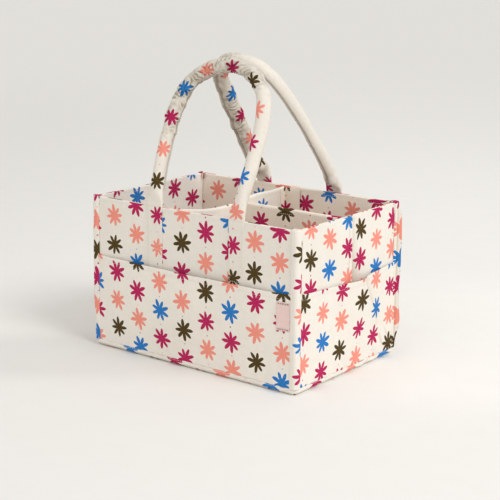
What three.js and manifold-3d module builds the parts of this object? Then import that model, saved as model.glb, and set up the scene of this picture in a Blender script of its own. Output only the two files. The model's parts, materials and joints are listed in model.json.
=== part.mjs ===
// A fabric caddy for nursery things, in millimetres, +Z up, standing on z = 0.
// X runs along the long side, the front pocket and its tab face -Y.
// A soft box of canvas over stiffening boards, with a lining, four outside pockets, bound
// corners, two padded carrying handles on sewn straps, and a T-shaped divider insert that
// is held by hook-and-loop tape and lifts out.
import * as THREE from 'three';
import { mergeVertices } from 'three/addons/utils/BufferGeometryUtils.js';
import Module from 'manifold-3d';

const wasm = await Module();
wasm.setup();

// Driving dimensions of the box, measured over the corner bindings.
const caddyLength = 340;
const caddyDepth = 230;
const caddyHeight = 208;

// Layers of the walls and the base, from the outside in.
const canvas = 1.2;
const wallBoard = 2;
const baseBoard = 6;
const liningCloth = 1;
const seam = 0.3;

// The cloth strip that binds each upright corner.
const bindingReach = 9.5;
const cornerRadius = 5;
const hemRound = 0.9;

// The base cloth, rolled up round the lower edge.
const baseRise = 9;
const baseRoll = 7;
const trayCorner = 8;
const boardCorner = 4;

// Outside pockets: the top edge, its turned hem and how far the mouth gapes.
const pocketTop = 128;
const pocketDip = 4;
const pocketHem = 7;
const hemExtra = 0.7;
const sidePocketGape = 7.5;
const endPocketGape = 8.5;

// Handles: a padded tube that flattens into a foot, and the straps below it.
const handleDiameter = 20;
const footWidth = 25;
const footThickness = 3;
const footLength = 34;
const strapWidth = 24;
const strapThickness = 2;
const strapTuck = 11;
const frontSpan = 134;
const rearSpan = 120;
const frontShift = 8.4;
const rearShift = 6;
const frontSway = 2.6;
const rearSway = 0.4;
const frontRise = 181;
const rearRise = 186;
const frontLean = 70;
const footLift = 0.5;
const coreStart = 26;

// The divider insert: a spine across the caddy and a wing to the right-hand end.
const spineX = -14;
const wingY = -8;
const dividerBoard = 2;
const dividerDrop = 0.5;
const spineSag = 7;
const wingSag = 1;
const sagStartShare = 0.12;
const floorClearance = 0.5;
const flapWidth = 25;
const flapMargin = 9;
const tapeWidth = 20;
const tapeMargin = 8;
const tapeThickness = 1;

// The plain woven tab, caught in the right-hand corner binding.
const tabWidth = 19;
const tabLow = 81;
const tabHigh = 118;
const tabThickness = 0.8;

// One overrun serves every cut.
const overrun = 2;

// Half-outlines of the two arches, foot to top: across in half spans, up in rises.
const frontArchShares = [
  [1, 0], [1.055, 0.2], [1.09, 0.45], [1.075, 0.64], [0.99, 0.785],
  [0.8, 0.89], [0.5, 0.963], [0.22, 0.992], [0, 1],
];
const rearArchShares = [
  [1, 0], [1.035, 0.13], [1.03, 0.27], [0.975, 0.45], [0.92, 0.61],
  [0.835, 0.755], [0.71, 0.88], [0.47, 0.965], [0.2, 0.994], [0, 1],
];
// How much of a handle's lean is left for its upper half, and where the lean begins.
const leanBendShare = 0.12;
const uprightShare = 0.025;

// Sizes that follow from the ones above.
const bindingProud = canvas + seam;
const wallX = caddyLength / 2 - bindingProud;
const wallY = caddyDepth / 2 - bindingProud;
const boardOut = -(canvas + seam);
const liningOut = boardOut - wallBoard - seam;
const wallThickness = -liningOut + liningCloth;
const insideX = wallX - wallThickness;
const insideY = wallY - wallThickness;
const lipReach = (wallThickness - seam) / 2;
const floorLow = canvas + seam + baseBoard + seam;
const floorTop = floorLow + liningCloth;
const panelLow = baseRise - hemRound - seam;
const coverLow = baseRise + seam;
const bindingInner = bindingReach - bindingProud;
const panelHalfX = wallX - bindingInner - seam;
const panelHalfY = wallY - bindingInner - seam;

const materials = {
  canvas: new THREE.MeshStandardMaterial({ color: 0xece5d8, roughness: 0.92, metalness: 0 }),
  binding: new THREE.MeshStandardMaterial({ color: 0xe8e0d2, roughness: 0.92, metalness: 0 }),
  pocket: new THREE.MeshStandardMaterial({ color: 0xeee8dc, roughness: 0.92, metalness: 0 }),
  lining: new THREE.MeshStandardMaterial({ color: 0xe3d9c8, roughness: 0.94, metalness: 0 }),
  board: new THREE.MeshStandardMaterial({ color: 0xb9b1a4, roughness: 0.95, metalness: 0 }),
  padding: new THREE.MeshStandardMaterial({ color: 0xf4f2ee, roughness: 0.97, metalness: 0 }),
  tape: new THREE.MeshStandardMaterial({ color: 0xf2f0ea, roughness: 0.9, metalness: 0 }),
  tab: new THREE.MeshStandardMaterial({ color: 0xe3b3b4, roughness: 0.85, metalness: 0 }),
};

// Geometry helpers.

// Builds a closed geometry and turns its faces outwards.
function closedGeometry(points, triangles) {
  const positions = points.flatMap((p) => [p.x, p.y, p.z]);
  let volume = 0;
  for (const [a, b, c] of triangles) {
    volume += points[a].dot(new THREE.Vector3().crossVectors(points[b], points[c]));
  }
  const order = volume > 0 ? [0, 1, 2] : [0, 2, 1];
  const geometry = new THREE.BufferGeometry();
  geometry.setAttribute('position', new THREE.Float32BufferAttribute(positions, 3));
  geometry.setIndex(triangles.flatMap((t) => order.map((k) => t[k])));
  return geometry;
}

// Skins a row of closed rings; the ends are capped, or joined to each other as a pipe is.
function skinRings(rings, isPipe) {
  const count = rings[0].length;
  const points = rings.flat();
  const triangles = [];
  const last = isPipe ? rings.length : rings.length - 1;
  for (let i = 0; i < last; i += 1) {
    const here = i * count;
    const next = ((i + 1) % rings.length) * count;
    for (let j = 0; j < count; j += 1) {
      const k = (j + 1) % count;
      triangles.push([here + j, next + j, next + k], [here + j, next + k, here + k]);
    }
  }
  if (!isPipe) {
    const lastStart = (rings.length - 1) * count;
    for (const [a, b, c] of capTriangles(rings[0])) triangles.push([a, b, c]);
    for (const [a, b, c] of capTriangles(rings.at(-1))) {
      triangles.push([lastStart + a, lastStart + c, lastStart + b]);
    }
  }
  return closedGeometry(points, triangles);
}

// Triangulates a flat ring in its own plane, wound the way the ring runs.
function capTriangles(ring) {
  const normal = new THREE.Vector3();
  ring.forEach((p, i) => normal.add(new THREE.Vector3().crossVectors(p, ring[(i + 1) % ring.length])));
  normal.normalize();
  const across = new THREE.Vector3().subVectors(ring[1], ring[0]).normalize();
  const up = new THREE.Vector3().crossVectors(normal, across);
  const flat = ring.map((p) => new THREE.Vector2(p.dot(across), p.dot(up)));
  return THREE.ShapeUtils.triangulateShape(flat, []);
}

// Sweeps a section of [out, z] points along upright stations of a wall.
function sweepWall(stations, sectionAt) {
  const rings = stations.map((s) => sectionAt(s).map(([out, z]) => (
    new THREE.Vector3(s.x + s.outX * out, s.y + s.outY * out, z)
  )));
  return skinRings(rings, false);
}

// Stations along the front (side -1) or rear (side 1) wall, and along an end wall.
function longRun(side, from, to, steps) {
  return spread(from, to, steps).map((x) => ({ x, y: side * wallY, outX: 0, outY: side, along: x }));
}
function endRun(side, from, to, steps) {
  return spread(from, to, steps).map((y) => ({ x: side * wallX, y, outX: side, outY: 0, along: y }));
}
function spread(from, to, steps) {
  return Array.from({ length: steps + 1 }, (_, i) => from + ((to - from) * i) / steps);
}

// Stations round an upright corner, from the long wall to the end wall.
function cornerRun(sideX, sideY) {
  const steps = 6;
  const start = { x: sideX * (wallX - bindingInner), y: sideY * wallY, outX: 0, outY: sideY };
  const finish = { x: sideX * wallX, y: sideY * (wallY - bindingInner), outX: sideX, outY: 0 };
  const arc = spread(0, Math.PI / 2, steps).map((angle) => ({
    x: sideX * (wallX - cornerRadius + cornerRadius * Math.sin(angle)),
    y: sideY * (wallY - cornerRadius + cornerRadius * Math.cos(angle)),
    outX: sideX * Math.sin(angle),
    outY: sideY * Math.cos(angle),
  }));
  return [start, ...arc, finish];
}

// A box between two corners, with its upright edges rounded.
function plate(low, high, radius) {
  const [w, d, h] = low.map((v, i) => high[i] - v);
  const axis = [w, d, h].indexOf(Math.min(w, d, h));
  const [u, v] = [0, 1, 2].filter((k) => k !== axis);
  const shape = roundedShape(low[u], low[v], high[u], high[v], radius);
  const geometry = new THREE.ExtrudeGeometry(shape, {
    depth: high[axis] - low[axis], bevelEnabled: false, curveSegments: 4,
  });
  const position = geometry.getAttribute('position');
  for (let i = 0; i < position.count; i += 1) {
    const place = [0, 0, 0];
    place[u] = position.getX(i);
    place[v] = position.getY(i);
    place[axis] = low[axis] + position.getZ(i);
    position.setXYZ(i, ...place);
  }
  return reclose(geometry);
}

function roundedShape(x0, y0, x1, y1, radius) {
  const shape = new THREE.Shape();
  shape.moveTo(x0 + radius, y0);
  shape.lineTo(x1 - radius, y0);
  shape.quadraticCurveTo(x1, y0, x1, y0 + radius);
  shape.lineTo(x1, y1 - radius);
  shape.quadraticCurveTo(x1, y1, x1 - radius, y1);
  shape.lineTo(x0 + radius, y1);
  shape.quadraticCurveTo(x0, y1, x0, y1 - radius);
  shape.lineTo(x0, y0 + radius);
  shape.quadraticCurveTo(x0, y0, x0 + radius, y0);
  return shape;
}

// Merges shared corners and turns the faces outwards again.
function reclose(geometry) {
  geometry.deleteAttribute('normal');
  geometry.deleteAttribute('uv');
  const merged = mergeVertices(geometry);
  const position = merged.getAttribute('position');
  const points = Array.from({ length: position.count }, (_, i) => (
    new THREE.Vector3().fromBufferAttribute(position, i)
  ));
  const index = Array.from(merged.getIndex().array);
  const triangles = [];
  for (let i = 0; i < index.length; i += 3) triangles.push(index.slice(i, i + 3));
  return closedGeometry(points, triangles);
}

function toSolid(geometry) {
  const merged = reclose(geometry);
  return new wasm.Manifold(new wasm.Mesh({
    numProp: 3,
    vertProperties: new Float32Array(merged.getAttribute('position').array),
    triVerts: new Uint32Array(merged.getIndex().array),
  }));
}

function toGeometry(solid) {
  const mesh = solid.getMesh();
  const geometry = new THREE.BufferGeometry();
  geometry.setAttribute('position', new THREE.Float32BufferAttribute(mesh.vertProperties, 3));
  geometry.setIndex(Array.from(mesh.triVerts));
  return geometry;
}

const caddy = new THREE.Group();
function addPiece(name, geometry, material) {
  const mesh = new THREE.Mesh(geometry, material);
  mesh.name = name;
  caddy.add(mesh);
}

// Walls: canvas outside, board in the middle, lining inside.

// The outer cloth turns in over the top edge and meets the lining halfway across.
function outerSection(low, outer) {
  const round = spread(0, Math.PI / 2, 3).map((angle) => [
    outer - hemRound + hemRound * Math.cos(angle),
    caddyHeight - hemRound + hemRound * Math.sin(angle),
  ]);
  return [
    [-canvas, low], [outer, low], ...round,
    [-lipReach, caddyHeight], [-lipReach, caddyHeight - canvas], [-canvas, caddyHeight - canvas],
  ];
}

function liningSection() {
  const inner = -wallThickness;
  const lip = -(lipReach + seam);
  const round = spread(Math.PI / 2, Math.PI, 3).map((angle) => [
    inner + hemRound + hemRound * Math.cos(angle),
    caddyHeight - hemRound + hemRound * Math.sin(angle),
  ]);
  return [
    [liningOut, floorLow], [liningOut, caddyHeight - liningCloth], [lip, caddyHeight - liningCloth],
    [lip, caddyHeight], ...round, [inner, floorLow],
  ];
}

function buildWalls() {
  const boardTop = caddyHeight - canvas - seam;
  const boardHalfX = insideX - seam;
  const boardHalfY = insideY - seam;
  const liningHalfX = wallX + liningOut;
  const liningHalfY = insideY - seam;
  const outer = () => outerSection(panelLow, 0);
  for (const [name, side] of [['front', -1], ['rear', 1]]) {
    addPiece(`${name}_panel`, sweepWall(longRun(side, -panelHalfX, panelHalfX, 1), outer), materials.canvas);
    const faces = [boardOut, boardOut - wallBoard].map((out) => side * (wallY + out)).sort((a, b) => a - b);
    addPiece(`${name}_board`, plate(
      [-boardHalfX, faces[0], panelLow],
      [boardHalfX, faces[1], boardTop],
      boardCorner,
    ), materials.board);
    addPiece(`${name}_lining`, sweepWall(longRun(side, -liningHalfX, liningHalfX, 1), liningSection), materials.lining);
  }
  for (const [name, side] of [['left', -1], ['right', 1]]) {
    addPiece(`${name}_panel`, sweepWall(endRun(side, -panelHalfY, panelHalfY, 1), outer), materials.canvas);
    const faces = [boardOut, boardOut - wallBoard].map((out) => side * (wallX + out)).sort((a, b) => a - b);
    addPiece(`${name}_board`, plate(
      [faces[0], -boardHalfY, panelLow],
      [faces[1], boardHalfY, boardTop],
      boardCorner,
    ), materials.board);
    addPiece(`${name}_lining`, sweepWall(endRun(side, -liningHalfY, liningHalfY, 1), liningSection), materials.lining);
  }
  for (const [name, sideX, sideY] of [
    ['front_left', -1, -1], ['front_right', 1, -1], ['rear_right', 1, 1], ['rear_left', -1, 1],
  ]) {
    const section = () => outerSection(coverLow, bindingProud);
    addPiece(`${name}_binding`, sweepWall(cornerRun(sideX, sideY), section), materials.binding);
  }
}

// Base: a cloth tray with a rolled edge, a padded board and the lining's floor.

function trayRing(inset, z) {
  const halfX = caddyLength / 2 - inset;
  const halfY = caddyDepth / 2 - inset;
  const radius = Math.max(trayCorner - inset, canvas);
  const ring = [];
  const steps = 5;
  for (const [sideX, sideY, turn] of [[1, 1, 0], [-1, 1, 1], [-1, -1, 2], [1, -1, 3]]) {
    for (const part of spread(0, Math.PI / 2, steps)) {
      const angle = (turn * Math.PI) / 2 + part;
      ring.push(new THREE.Vector3(
        sideX * (halfX - radius) + radius * Math.cos(angle),
        sideY * (halfY - radius) + radius * Math.sin(angle),
        z,
      ));
    }
  }
  return ring;
}

function buildBase() {
  const quarter = spread(0, Math.PI / 2, 5);
  const outside = quarter.map((a) => trayRing(baseRoll * (1 - Math.sin(a)), baseRoll * (1 - Math.cos(a))));
  const innerRoll = baseRoll - canvas;
  const inside = quarter.map((a) => trayRing(
    baseRoll - innerRoll * Math.sin(a),
    baseRoll - innerRoll * Math.cos(a),
  ));
  const rings = [...outside, trayRing(0, baseRise), trayRing(canvas, baseRise), ...inside.reverse()];
  addPiece('base_cloth', skinRings(rings, false), materials.canvas);
  const boardLow = canvas + seam;
  addPiece('base_board', plate(
    [-insideX, -insideY, boardLow],
    [insideX, insideY, boardLow + baseBoard],
    boardCorner,
  ), materials.board);
  addPiece('floor_lining', plate(
    [-(insideX - seam), -(insideY - seam), floorLow],
    [insideX - seam, insideY - seam, floorTop],
    liningCloth,
  ), materials.lining);
}

// Pockets: a sheet sewn down at its foot and sides, bowed out towards the open mouth.

function smooth(value) {
  const t = Math.min(Math.max(value, 0), 1);
  return t * t * (3 - 2 * t);
}

// The pockets stand out most in the middle and in their upper part.
const bowPowerShare = 2.2;
const rampShare = 0.6;
function pocketBow(along, half, z, gape) {
  const across = 1 - Math.abs(along / half) ** bowPowerShare;
  const up = (z - coverLow) / (pocketTop - coverLow);
  return gape * across * smooth(up / rampShare);
}

// Heights of the sheet's grid lines below the hem, as shares of the pocket.
const pocketLevelShares = [0, 0.16, 0.32, 0.48, 0.64, 0.8];
const pocketSteps = 14;

function pocketSection(along, half, gape, dip) {
  const top = pocketTop - dip * (1 - (along / half) ** 2);
  const hemLow = top - pocketHem;
  const levels = pocketLevelShares.map((share) => coverLow + share * (hemLow - coverLow));
  const bow = (z) => pocketBow(along, half, z, gape);
  const outside = [...levels, hemLow].map((z) => [seam + canvas + bow(z), z]);
  const hem = [
    [seam + canvas + hemExtra + bow(top), hemLow + hemExtra],
    [seam + canvas + hemExtra + bow(top), top - hemExtra],
    [seam + canvas + bow(top), top],
    [seam + bow(top), top],
  ];
  const inside = [...levels, hemLow].reverse().map((z) => [seam + bow(z), z]);
  return [...outside, ...hem, ...inside];
}

function buildPockets() {
  for (const [name, side] of [['front', -1], ['rear', 1]]) {
    const stations = longRun(side, -panelHalfX, panelHalfX, pocketSteps);
    const section = (s) => pocketSection(s.along, panelHalfX, sidePocketGape, 0);
    addPiece(`${name}_pocket`, sweepWall(stations, section), materials.pocket);
  }
  for (const [name, side] of [['left', -1], ['right', 1]]) {
    const stations = endRun(side, -panelHalfY, panelHalfY, pocketSteps);
    const section = (s) => pocketSection(s.along, panelHalfY, endPocketGape, pocketDip);
    addPiece(`${name}_pocket`, sweepWall(stations, section), materials.pocket);
  }
}

// The tab lies on the front pocket, its side edge against the corner binding.
function buildTab() {
  const stations = longRun(-1, panelHalfX - tabWidth, panelHalfX, 4);
  const levels = spread(tabLow, tabHigh, 3);
  const face = (s, z) => seam + canvas + seam + pocketBow(s.along, panelHalfX, z, sidePocketGape);
  addPiece('side_tab', sweepWall(stations, (s) => [
    ...levels.map((z) => [face(s, z) + tabThickness, z]),
    ...levels.slice().reverse().map((z) => [face(s, z), z]),
  ]), materials.tab);
}

// Straps: flat runs of handle cloth, sewn to the wall and tucked under the pocket's mouth.
function buildStraps() {
  for (const [name, side, span, shift] of [
    ['front', -1, frontSpan, frontShift], ['rear', 1, rearSpan, rearShift],
  ]) {
    for (const [end, sideX] of [['left', -1], ['right', 1]]) {
      const middle = shift + (sideX * span) / 2;
      const faces = [seam, seam + strapThickness].map((out) => side * (wallY + out)).sort((a, b) => a - b);
      addPiece(`${name}_strap_${end}`, plate(
        [middle - strapWidth / 2, faces[0], pocketTop - strapTuck],
        [middle + strapWidth / 2, faces[1], caddyHeight],
        strapThickness,
      ), materials.canvas);
    }
  }
}

// Handles: each is a rolled tube of cloth round a padding core, and both feet are pressed flat.

// The rear handle leans in until it rests on the front one.
const footOut = seam + strapThickness / 2;
const frontApexY = -(wallY + footOut) + frontLean;
const rearApexY = frontApexY + Math.sqrt((handleDiameter + seam * 2) ** 2 - (rearRise - frontRise) ** 2);
const rearLean = wallY + footOut - rearApexY;

function handleCurve(side, halfShares, span, shift, sway, rise, lean) {
  const left = halfShares.map(([across, up]) => [-across, up]);
  const right = halfShares.slice(0, -1).reverse();
  const points = [...left, ...right].map(([across, up]) => {
    const slope = Math.max(0, up - uprightShare) / (1 - uprightShare);
    const inward = lean * ((1 - leanBendShare) * slope + leanBendShare * slope * slope);
    return new THREE.Vector3(
      shift + sway * up + (across * span) / 2,
      side * (wallY + footOut - inward),
      caddyHeight + footLift + up * (rise - footLift),
    );
  });
  return new THREE.CatmullRomCurve3(points, false, 'centripetal');
}

// One ring of the handle at a share of its length, drawn in from the outside by `inset`.
function handleRing(curve, share, length, side, lean, rise, inset, sides) {
  const point = curve.getPointAt(share);
  const tangent = curve.getTangentAt(share);
  if (share === 0 || share === 1) tangent.set(0, 0, share === 0 ? 1 : -1);
  const face = new THREE.Vector3(0, side * rise, lean).normalize();
  face.addScaledVector(tangent, -face.dot(tangent)).normalize();
  const across = new THREE.Vector3().crossVectors(tangent, face);
  const fromFoot = Math.min(share, 1 - share) * length;
  const roll = smooth(fromFoot / footLength);
  const halfWidth = (footWidth + (handleDiameter - footWidth) * roll) / 2 - inset;
  const halfThick = Math.max((footThickness + (handleDiameter - footThickness) * roll) / 2 - inset, seam);
  return Array.from({ length: sides }, (_, k) => {
    const angle = (2 * Math.PI * k) / sides;
    return point.clone()
      .addScaledVector(across, halfWidth * Math.cos(angle))
      .addScaledVector(face, halfThick * Math.sin(angle));
  });
}

function buildHandle(name, side, halfShares, span, shift, sway, rise, lean) {
  const curve = handleCurve(side, halfShares, span, shift, sway, rise, lean);
  const length = curve.getLength();
  const sides = 12;
  const steps = 44;
  const ringAt = (share, inset) => handleRing(curve, share, length, side, lean, rise, inset, sides);
  const shares = spread(0, 1, steps);
  const outside = shares.map((share) => ringAt(share, 0));
  const inside = shares.map((share) => ringAt(share, canvas)).reverse();
  addPiece(`${name}_handle_cover`, skinRings([...outside, ...inside], true), materials.canvas);
  const inCore = (share) => Math.min(share, 1 - share) * length > coreStart;
  const core = shares.filter(inCore).map((share) => ringAt(share, canvas + seam));
  addPiece(`${name}_handle_core`, skinRings(core, false), materials.padding);
}

function buildHandles() {
  buildHandle('front', -1, frontArchShares, frontSpan, frontShift, frontSway, frontRise, frontLean);
  buildHandle('rear', 1, rearArchShares, rearSpan, rearShift, rearSway, rearRise, rearLean);
}

// Divider insert: cloth covers over boards, and flaps with hook tape against loop tape.
const dividerThickness = 2 * (canvas + seam) + dividerBoard;
const flapOff = 2 * (tapeThickness + seam) + seam;
const spineHalf = insideY - flapOff;
const wingEnd = insideX - flapOff;
const hingeX = spineX + dividerThickness + seam;
const dividerLow = floorTop + floorClearance;
const dividerTop = caddyHeight - dividerDrop;
const flapLow = dividerLow + flapMargin;
const flapHigh = dividerTop - flapMargin;

// A leaf seen from its side: straight foot and ends, and a top edge that sags mostly near its ends.
function leafShape(from, to, low, top, sag) {
  const shape = new THREE.Shape();
  shape.moveTo(from, low);
  shape.lineTo(to, low);
  shape.lineTo(to, top);
  const start = (to - from) * sagStartShare;
  const pull = (4 * sag) / 3;
  shape.bezierCurveTo(to - start, top - pull, from + start, top - pull, from, top);
  shape.lineTo(from, low);
  return shape;
}

// Turns an outline of (run, z) into a slab across the other axis.
function slab(shape, thickness, middle, runsAlongX) {
  const geometry = new THREE.ExtrudeGeometry(shape, { depth: thickness, bevelEnabled: false, curveSegments: 8 });
  const position = geometry.getAttribute('position');
  for (let i = 0; i < position.count; i += 1) {
    const run = position.getX(i);
    const z = position.getY(i);
    const across = middle - thickness / 2 + position.getZ(i);
    position.setXYZ(i, ...(runsAlongX ? [run, across, z] : [across, run, z]));
  }
  return reclose(geometry);
}

// The board stops a cloth's thickness short of the cover all round, but for the open foot.
const coverWall = canvas + seam;
const boardFoot = dividerLow + seam;
const cavityFoot = dividerLow - overrun;
const cavityWidth = dividerBoard + 2 * seam;
const boardPeak = dividerTop - coverWall;

function buildSpine() {
  const boardHalf = spineHalf - coverWall;
  const cavityHalf = boardHalf + seam;
  const outline = leafShape(-spineHalf, spineHalf, dividerLow, dividerTop, spineSag);
  const hollow = leafShape(-cavityHalf, cavityHalf, cavityFoot, boardPeak + seam, spineSag);
  const filling = leafShape(-boardHalf, boardHalf, boardFoot, boardPeak, spineSag);
  const cover = toSolid(slab(outline, dividerThickness, spineX, false));
  const cavity = toSolid(slab(hollow, cavityWidth, spineX, false));
  let solid = cover.subtract(cavity);
  const spineFace = spineX + dividerThickness / 2;
  for (const side of [-1, 1]) {
    const faces = [spineHalf, spineHalf - canvas].map((y) => side * y).sort((a, b) => a - b);
    const flap = plate(
      [spineFace - canvas, faces[0], flapLow],
      [spineFace + flapWidth, faces[1], flapHigh],
      canvas,
    );
    solid = solid.add(toSolid(flap));
  }
  addPiece('spine_cover', toGeometry(solid), materials.lining);
  addPiece('spine_board', slab(filling, dividerBoard, spineX, false), materials.board);
}

function buildWing() {
  const pivotRadius = dividerThickness / 2;
  const outline = leafShape(hingeX - pivotRadius, wingEnd, dividerLow, dividerTop, wingSag);
  const plan = new THREE.Shape();
  plan.moveTo(hingeX, wingY - pivotRadius);
  plan.lineTo(wingEnd, wingY - pivotRadius);
  plan.lineTo(wingEnd, wingY + pivotRadius);
  plan.lineTo(hingeX, wingY + pivotRadius);
  plan.absarc(hingeX, wingY, pivotRadius, Math.PI / 2, (3 * Math.PI) / 2, false);
  const post = new THREE.ExtrudeGeometry(plan, {
    depth: caddyHeight + overrun, bevelEnabled: false, curveSegments: 6,
  });
  const leaf = toSolid(slab(outline, dividerThickness + overrun, wingY, true)).intersect(toSolid(post));
  const boardEnd = wingEnd - coverWall;
  const hollow = leafShape(hingeX - seam, boardEnd + seam, cavityFoot, boardPeak + seam, wingSag);
  const filling = leafShape(hingeX, boardEnd, boardFoot, boardPeak, wingSag);
  const cavity = toSolid(slab(hollow, cavityWidth, wingY, true));
  const flap = plate(
    [wingEnd - canvas, wingY - pivotRadius - flapWidth, flapLow],
    [wingEnd, wingY - pivotRadius + canvas, flapHigh],
    canvas,
  );
  addPiece('wing_cover', toGeometry(leaf.subtract(cavity).add(toSolid(flap))), materials.lining);
  addPiece('wing_board', slab(filling, dividerBoard, wingY, true), materials.board);
}

function buildTapes() {
  const low = flapLow + tapeMargin;
  const high = flapHigh - tapeMargin;
  const loopGap = seam;
  const hookGap = 2 * seam + tapeThickness;
  const tapeStart = spineX + dividerThickness / 2 + (flapWidth - tapeWidth) / 2;
  for (const [name, side] of [['front', -1], ['rear', 1]]) {
    for (const [kind, gap] of [['loop', loopGap], ['hook', hookGap]]) {
      const faces = [gap, gap + tapeThickness].map((off) => side * (insideY - off)).sort((a, b) => a - b);
      addPiece(`${name}_${kind}_tape`, plate(
        [tapeStart, faces[0], low],
        [tapeStart + tapeWidth, faces[1], high],
        tapeThickness,
      ), materials.tape);
    }
  }
  const wingTape = wingY - dividerThickness / 2 - (flapWidth - tapeWidth) / 2;
  for (const [kind, gap] of [['loop', loopGap], ['hook', hookGap]]) {
    addPiece(`wing_${kind}_tape`, plate(
      [insideX - gap - tapeThickness, wingTape - tapeWidth, low],
      [insideX - gap, wingTape, high],
      tapeThickness,
    ), materials.tape);
  }
}

buildBase();
buildWalls();
buildPockets();
buildTab();
buildStraps();
buildHandles();
buildSpine();
buildWing();
buildTapes();

export default caddy;
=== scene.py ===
# %% [markdown]
# A fabric caddy, dressed over its frame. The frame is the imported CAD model: boards, walls, pockets,
# handles and a T-shaped divider, each at its real size and place. Its soft solids are plain, so most
# cells below lay cloth over one of them: a sheet with a hem, a rolled tube, a folded strip. Each cloth
# is a bmesh that an operator starts and a short rule shapes, and it then rides on its CAD body.

# %% Load the frame
import json
import math
from bisect import bisect_left

import bmesh
import bpy
from mathutils import Matrix, Vector, noise


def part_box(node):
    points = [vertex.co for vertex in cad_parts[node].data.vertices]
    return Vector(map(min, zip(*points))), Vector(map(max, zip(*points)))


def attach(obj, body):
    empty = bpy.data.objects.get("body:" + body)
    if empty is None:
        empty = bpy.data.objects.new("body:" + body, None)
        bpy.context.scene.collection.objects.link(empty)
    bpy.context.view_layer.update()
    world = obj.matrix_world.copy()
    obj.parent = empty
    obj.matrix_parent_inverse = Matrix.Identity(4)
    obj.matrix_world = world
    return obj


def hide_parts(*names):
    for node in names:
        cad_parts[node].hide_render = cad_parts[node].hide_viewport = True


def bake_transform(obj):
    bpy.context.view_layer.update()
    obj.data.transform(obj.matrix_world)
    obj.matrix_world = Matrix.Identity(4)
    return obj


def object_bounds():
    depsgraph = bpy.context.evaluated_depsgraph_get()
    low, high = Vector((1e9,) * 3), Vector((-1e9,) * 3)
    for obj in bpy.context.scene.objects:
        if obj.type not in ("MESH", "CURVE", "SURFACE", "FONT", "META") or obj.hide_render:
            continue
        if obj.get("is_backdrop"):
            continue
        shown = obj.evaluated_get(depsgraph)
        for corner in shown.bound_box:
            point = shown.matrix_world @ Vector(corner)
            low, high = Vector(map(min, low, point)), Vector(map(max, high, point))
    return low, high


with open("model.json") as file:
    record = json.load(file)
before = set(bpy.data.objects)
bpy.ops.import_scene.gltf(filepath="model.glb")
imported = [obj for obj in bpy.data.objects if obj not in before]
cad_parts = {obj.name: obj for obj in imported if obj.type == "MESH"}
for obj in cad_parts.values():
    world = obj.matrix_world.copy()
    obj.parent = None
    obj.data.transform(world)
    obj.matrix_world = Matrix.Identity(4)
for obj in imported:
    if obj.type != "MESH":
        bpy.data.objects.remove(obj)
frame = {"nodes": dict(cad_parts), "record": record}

cad_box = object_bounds()
mm = 0.001
ALONG_X = Vector((1, 0, 0))
ALONG_Y = Vector((0, 1, 0))
UP = Vector((0, 0, 1))
scene = bpy.context.scene

# %% [markdown]
# The camera stands where a person would stand to look over the near corner: a long lens, a little
# above the rim. A camera could be aimed by hand, but working it out from an azimuth, an elevation and
# a distance keeps the three numbers that matter in sight.

# %% Camera
looks_at = Vector((-1, 13, 135)) * mm
azimuth = math.radians(37.74)
elevation = math.radians(13.77)
camera_roll = math.radians(0.46)
camera_distance = 1804 * mm
picture_width = 500
lens_in_pixels = 1333

camera = bpy.data.objects.new("camera", bpy.data.cameras.new("camera"))
camera.data.sensor_width = 36
camera.data.lens = camera.data.sensor_width * lens_in_pixels / picture_width
level = math.cos(elevation)
backwards = Vector((math.sin(azimuth) * level, -math.cos(azimuth) * level, math.sin(elevation)))
aim = (-backwards).to_track_quat("-Z", "Y").to_matrix().to_4x4()
camera.matrix_world = (
    Matrix.Translation(looks_at + backwards * camera_distance) @ aim @ Matrix.Rotation(camera_roll, 4, "Z")
)
scene.collection.objects.link(camera)
scene.camera = camera
scene.view_settings.view_transform = "Standard"
print("camera at", [round(value, 3) for value in camera.location])

# %% [markdown]
# Materials are built from nodes, and wiring nodes by hand in code is wordy. So each socket is wrapped as
# a Value, which takes part in ordinary sums: every plus or times makes one Math node. A few helpers add
# a node, open a node group with named sockets and feed a socket with a link or a plain number. Colours
# are written as they show on a screen and turned linear here.

# %% Helpers for shader nodes
class Value:
    """A number, colour or vector inside a node tree. Each sum it takes part in becomes a Math node."""

    def __init__(self, tree, socket):
        self.tree = tree
        self.socket = socket

    def do(self, operation, *others):
        return calc(self.tree, operation, self, *others)

    def __add__(self, other):
        return self.do("ADD", other)

    def __sub__(self, other):
        return self.do("SUBTRACT", other)

    def __rsub__(self, other):
        return calc(self.tree, "SUBTRACT", other, self)

    def __mul__(self, other):
        return self.do("MULTIPLY", other)

    def __truediv__(self, other):
        return self.do("DIVIDE", other)

    def __mod__(self, other):
        return self.do("FLOORED_MODULO", other)

    def __pow__(self, other):
        return self.do("POWER", other)


def linear(hex_colour):
    """A colour such as "F2EDE2" as the linear numbers that a shader takes."""
    shares = [int(hex_colour[i : i + 2], 16) / 255 for i in (0, 2, 4)]
    return [s / 12.92 if s <= 0.04045 else ((s + 0.055) / 1.055) ** 2.4 for s in shares] + [1]


def feed(tree, socket, value):
    if isinstance(value, Value):
        value = value.socket
    if isinstance(value, bpy.types.NodeSocket):
        tree.links.new(value, socket)
    else:
        socket.default_value = value


def feed_named(tree, sockets, values):
    for label, value in values.items():
        feed(tree, sockets[label.replace("_", " ")], value)


def add_node(tree, kind, output, settings=None, **values):
    """Makes a node, sets its own settings, feeds its named sockets and gives one of its outputs."""
    node = tree.nodes.new(f"ShaderNode{kind}")
    for key, setting in (settings or {}).items():
        setattr(node, key, setting)
    feed_named(tree, node.inputs, values)
    return Value(tree, node.outputs[output])


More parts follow.
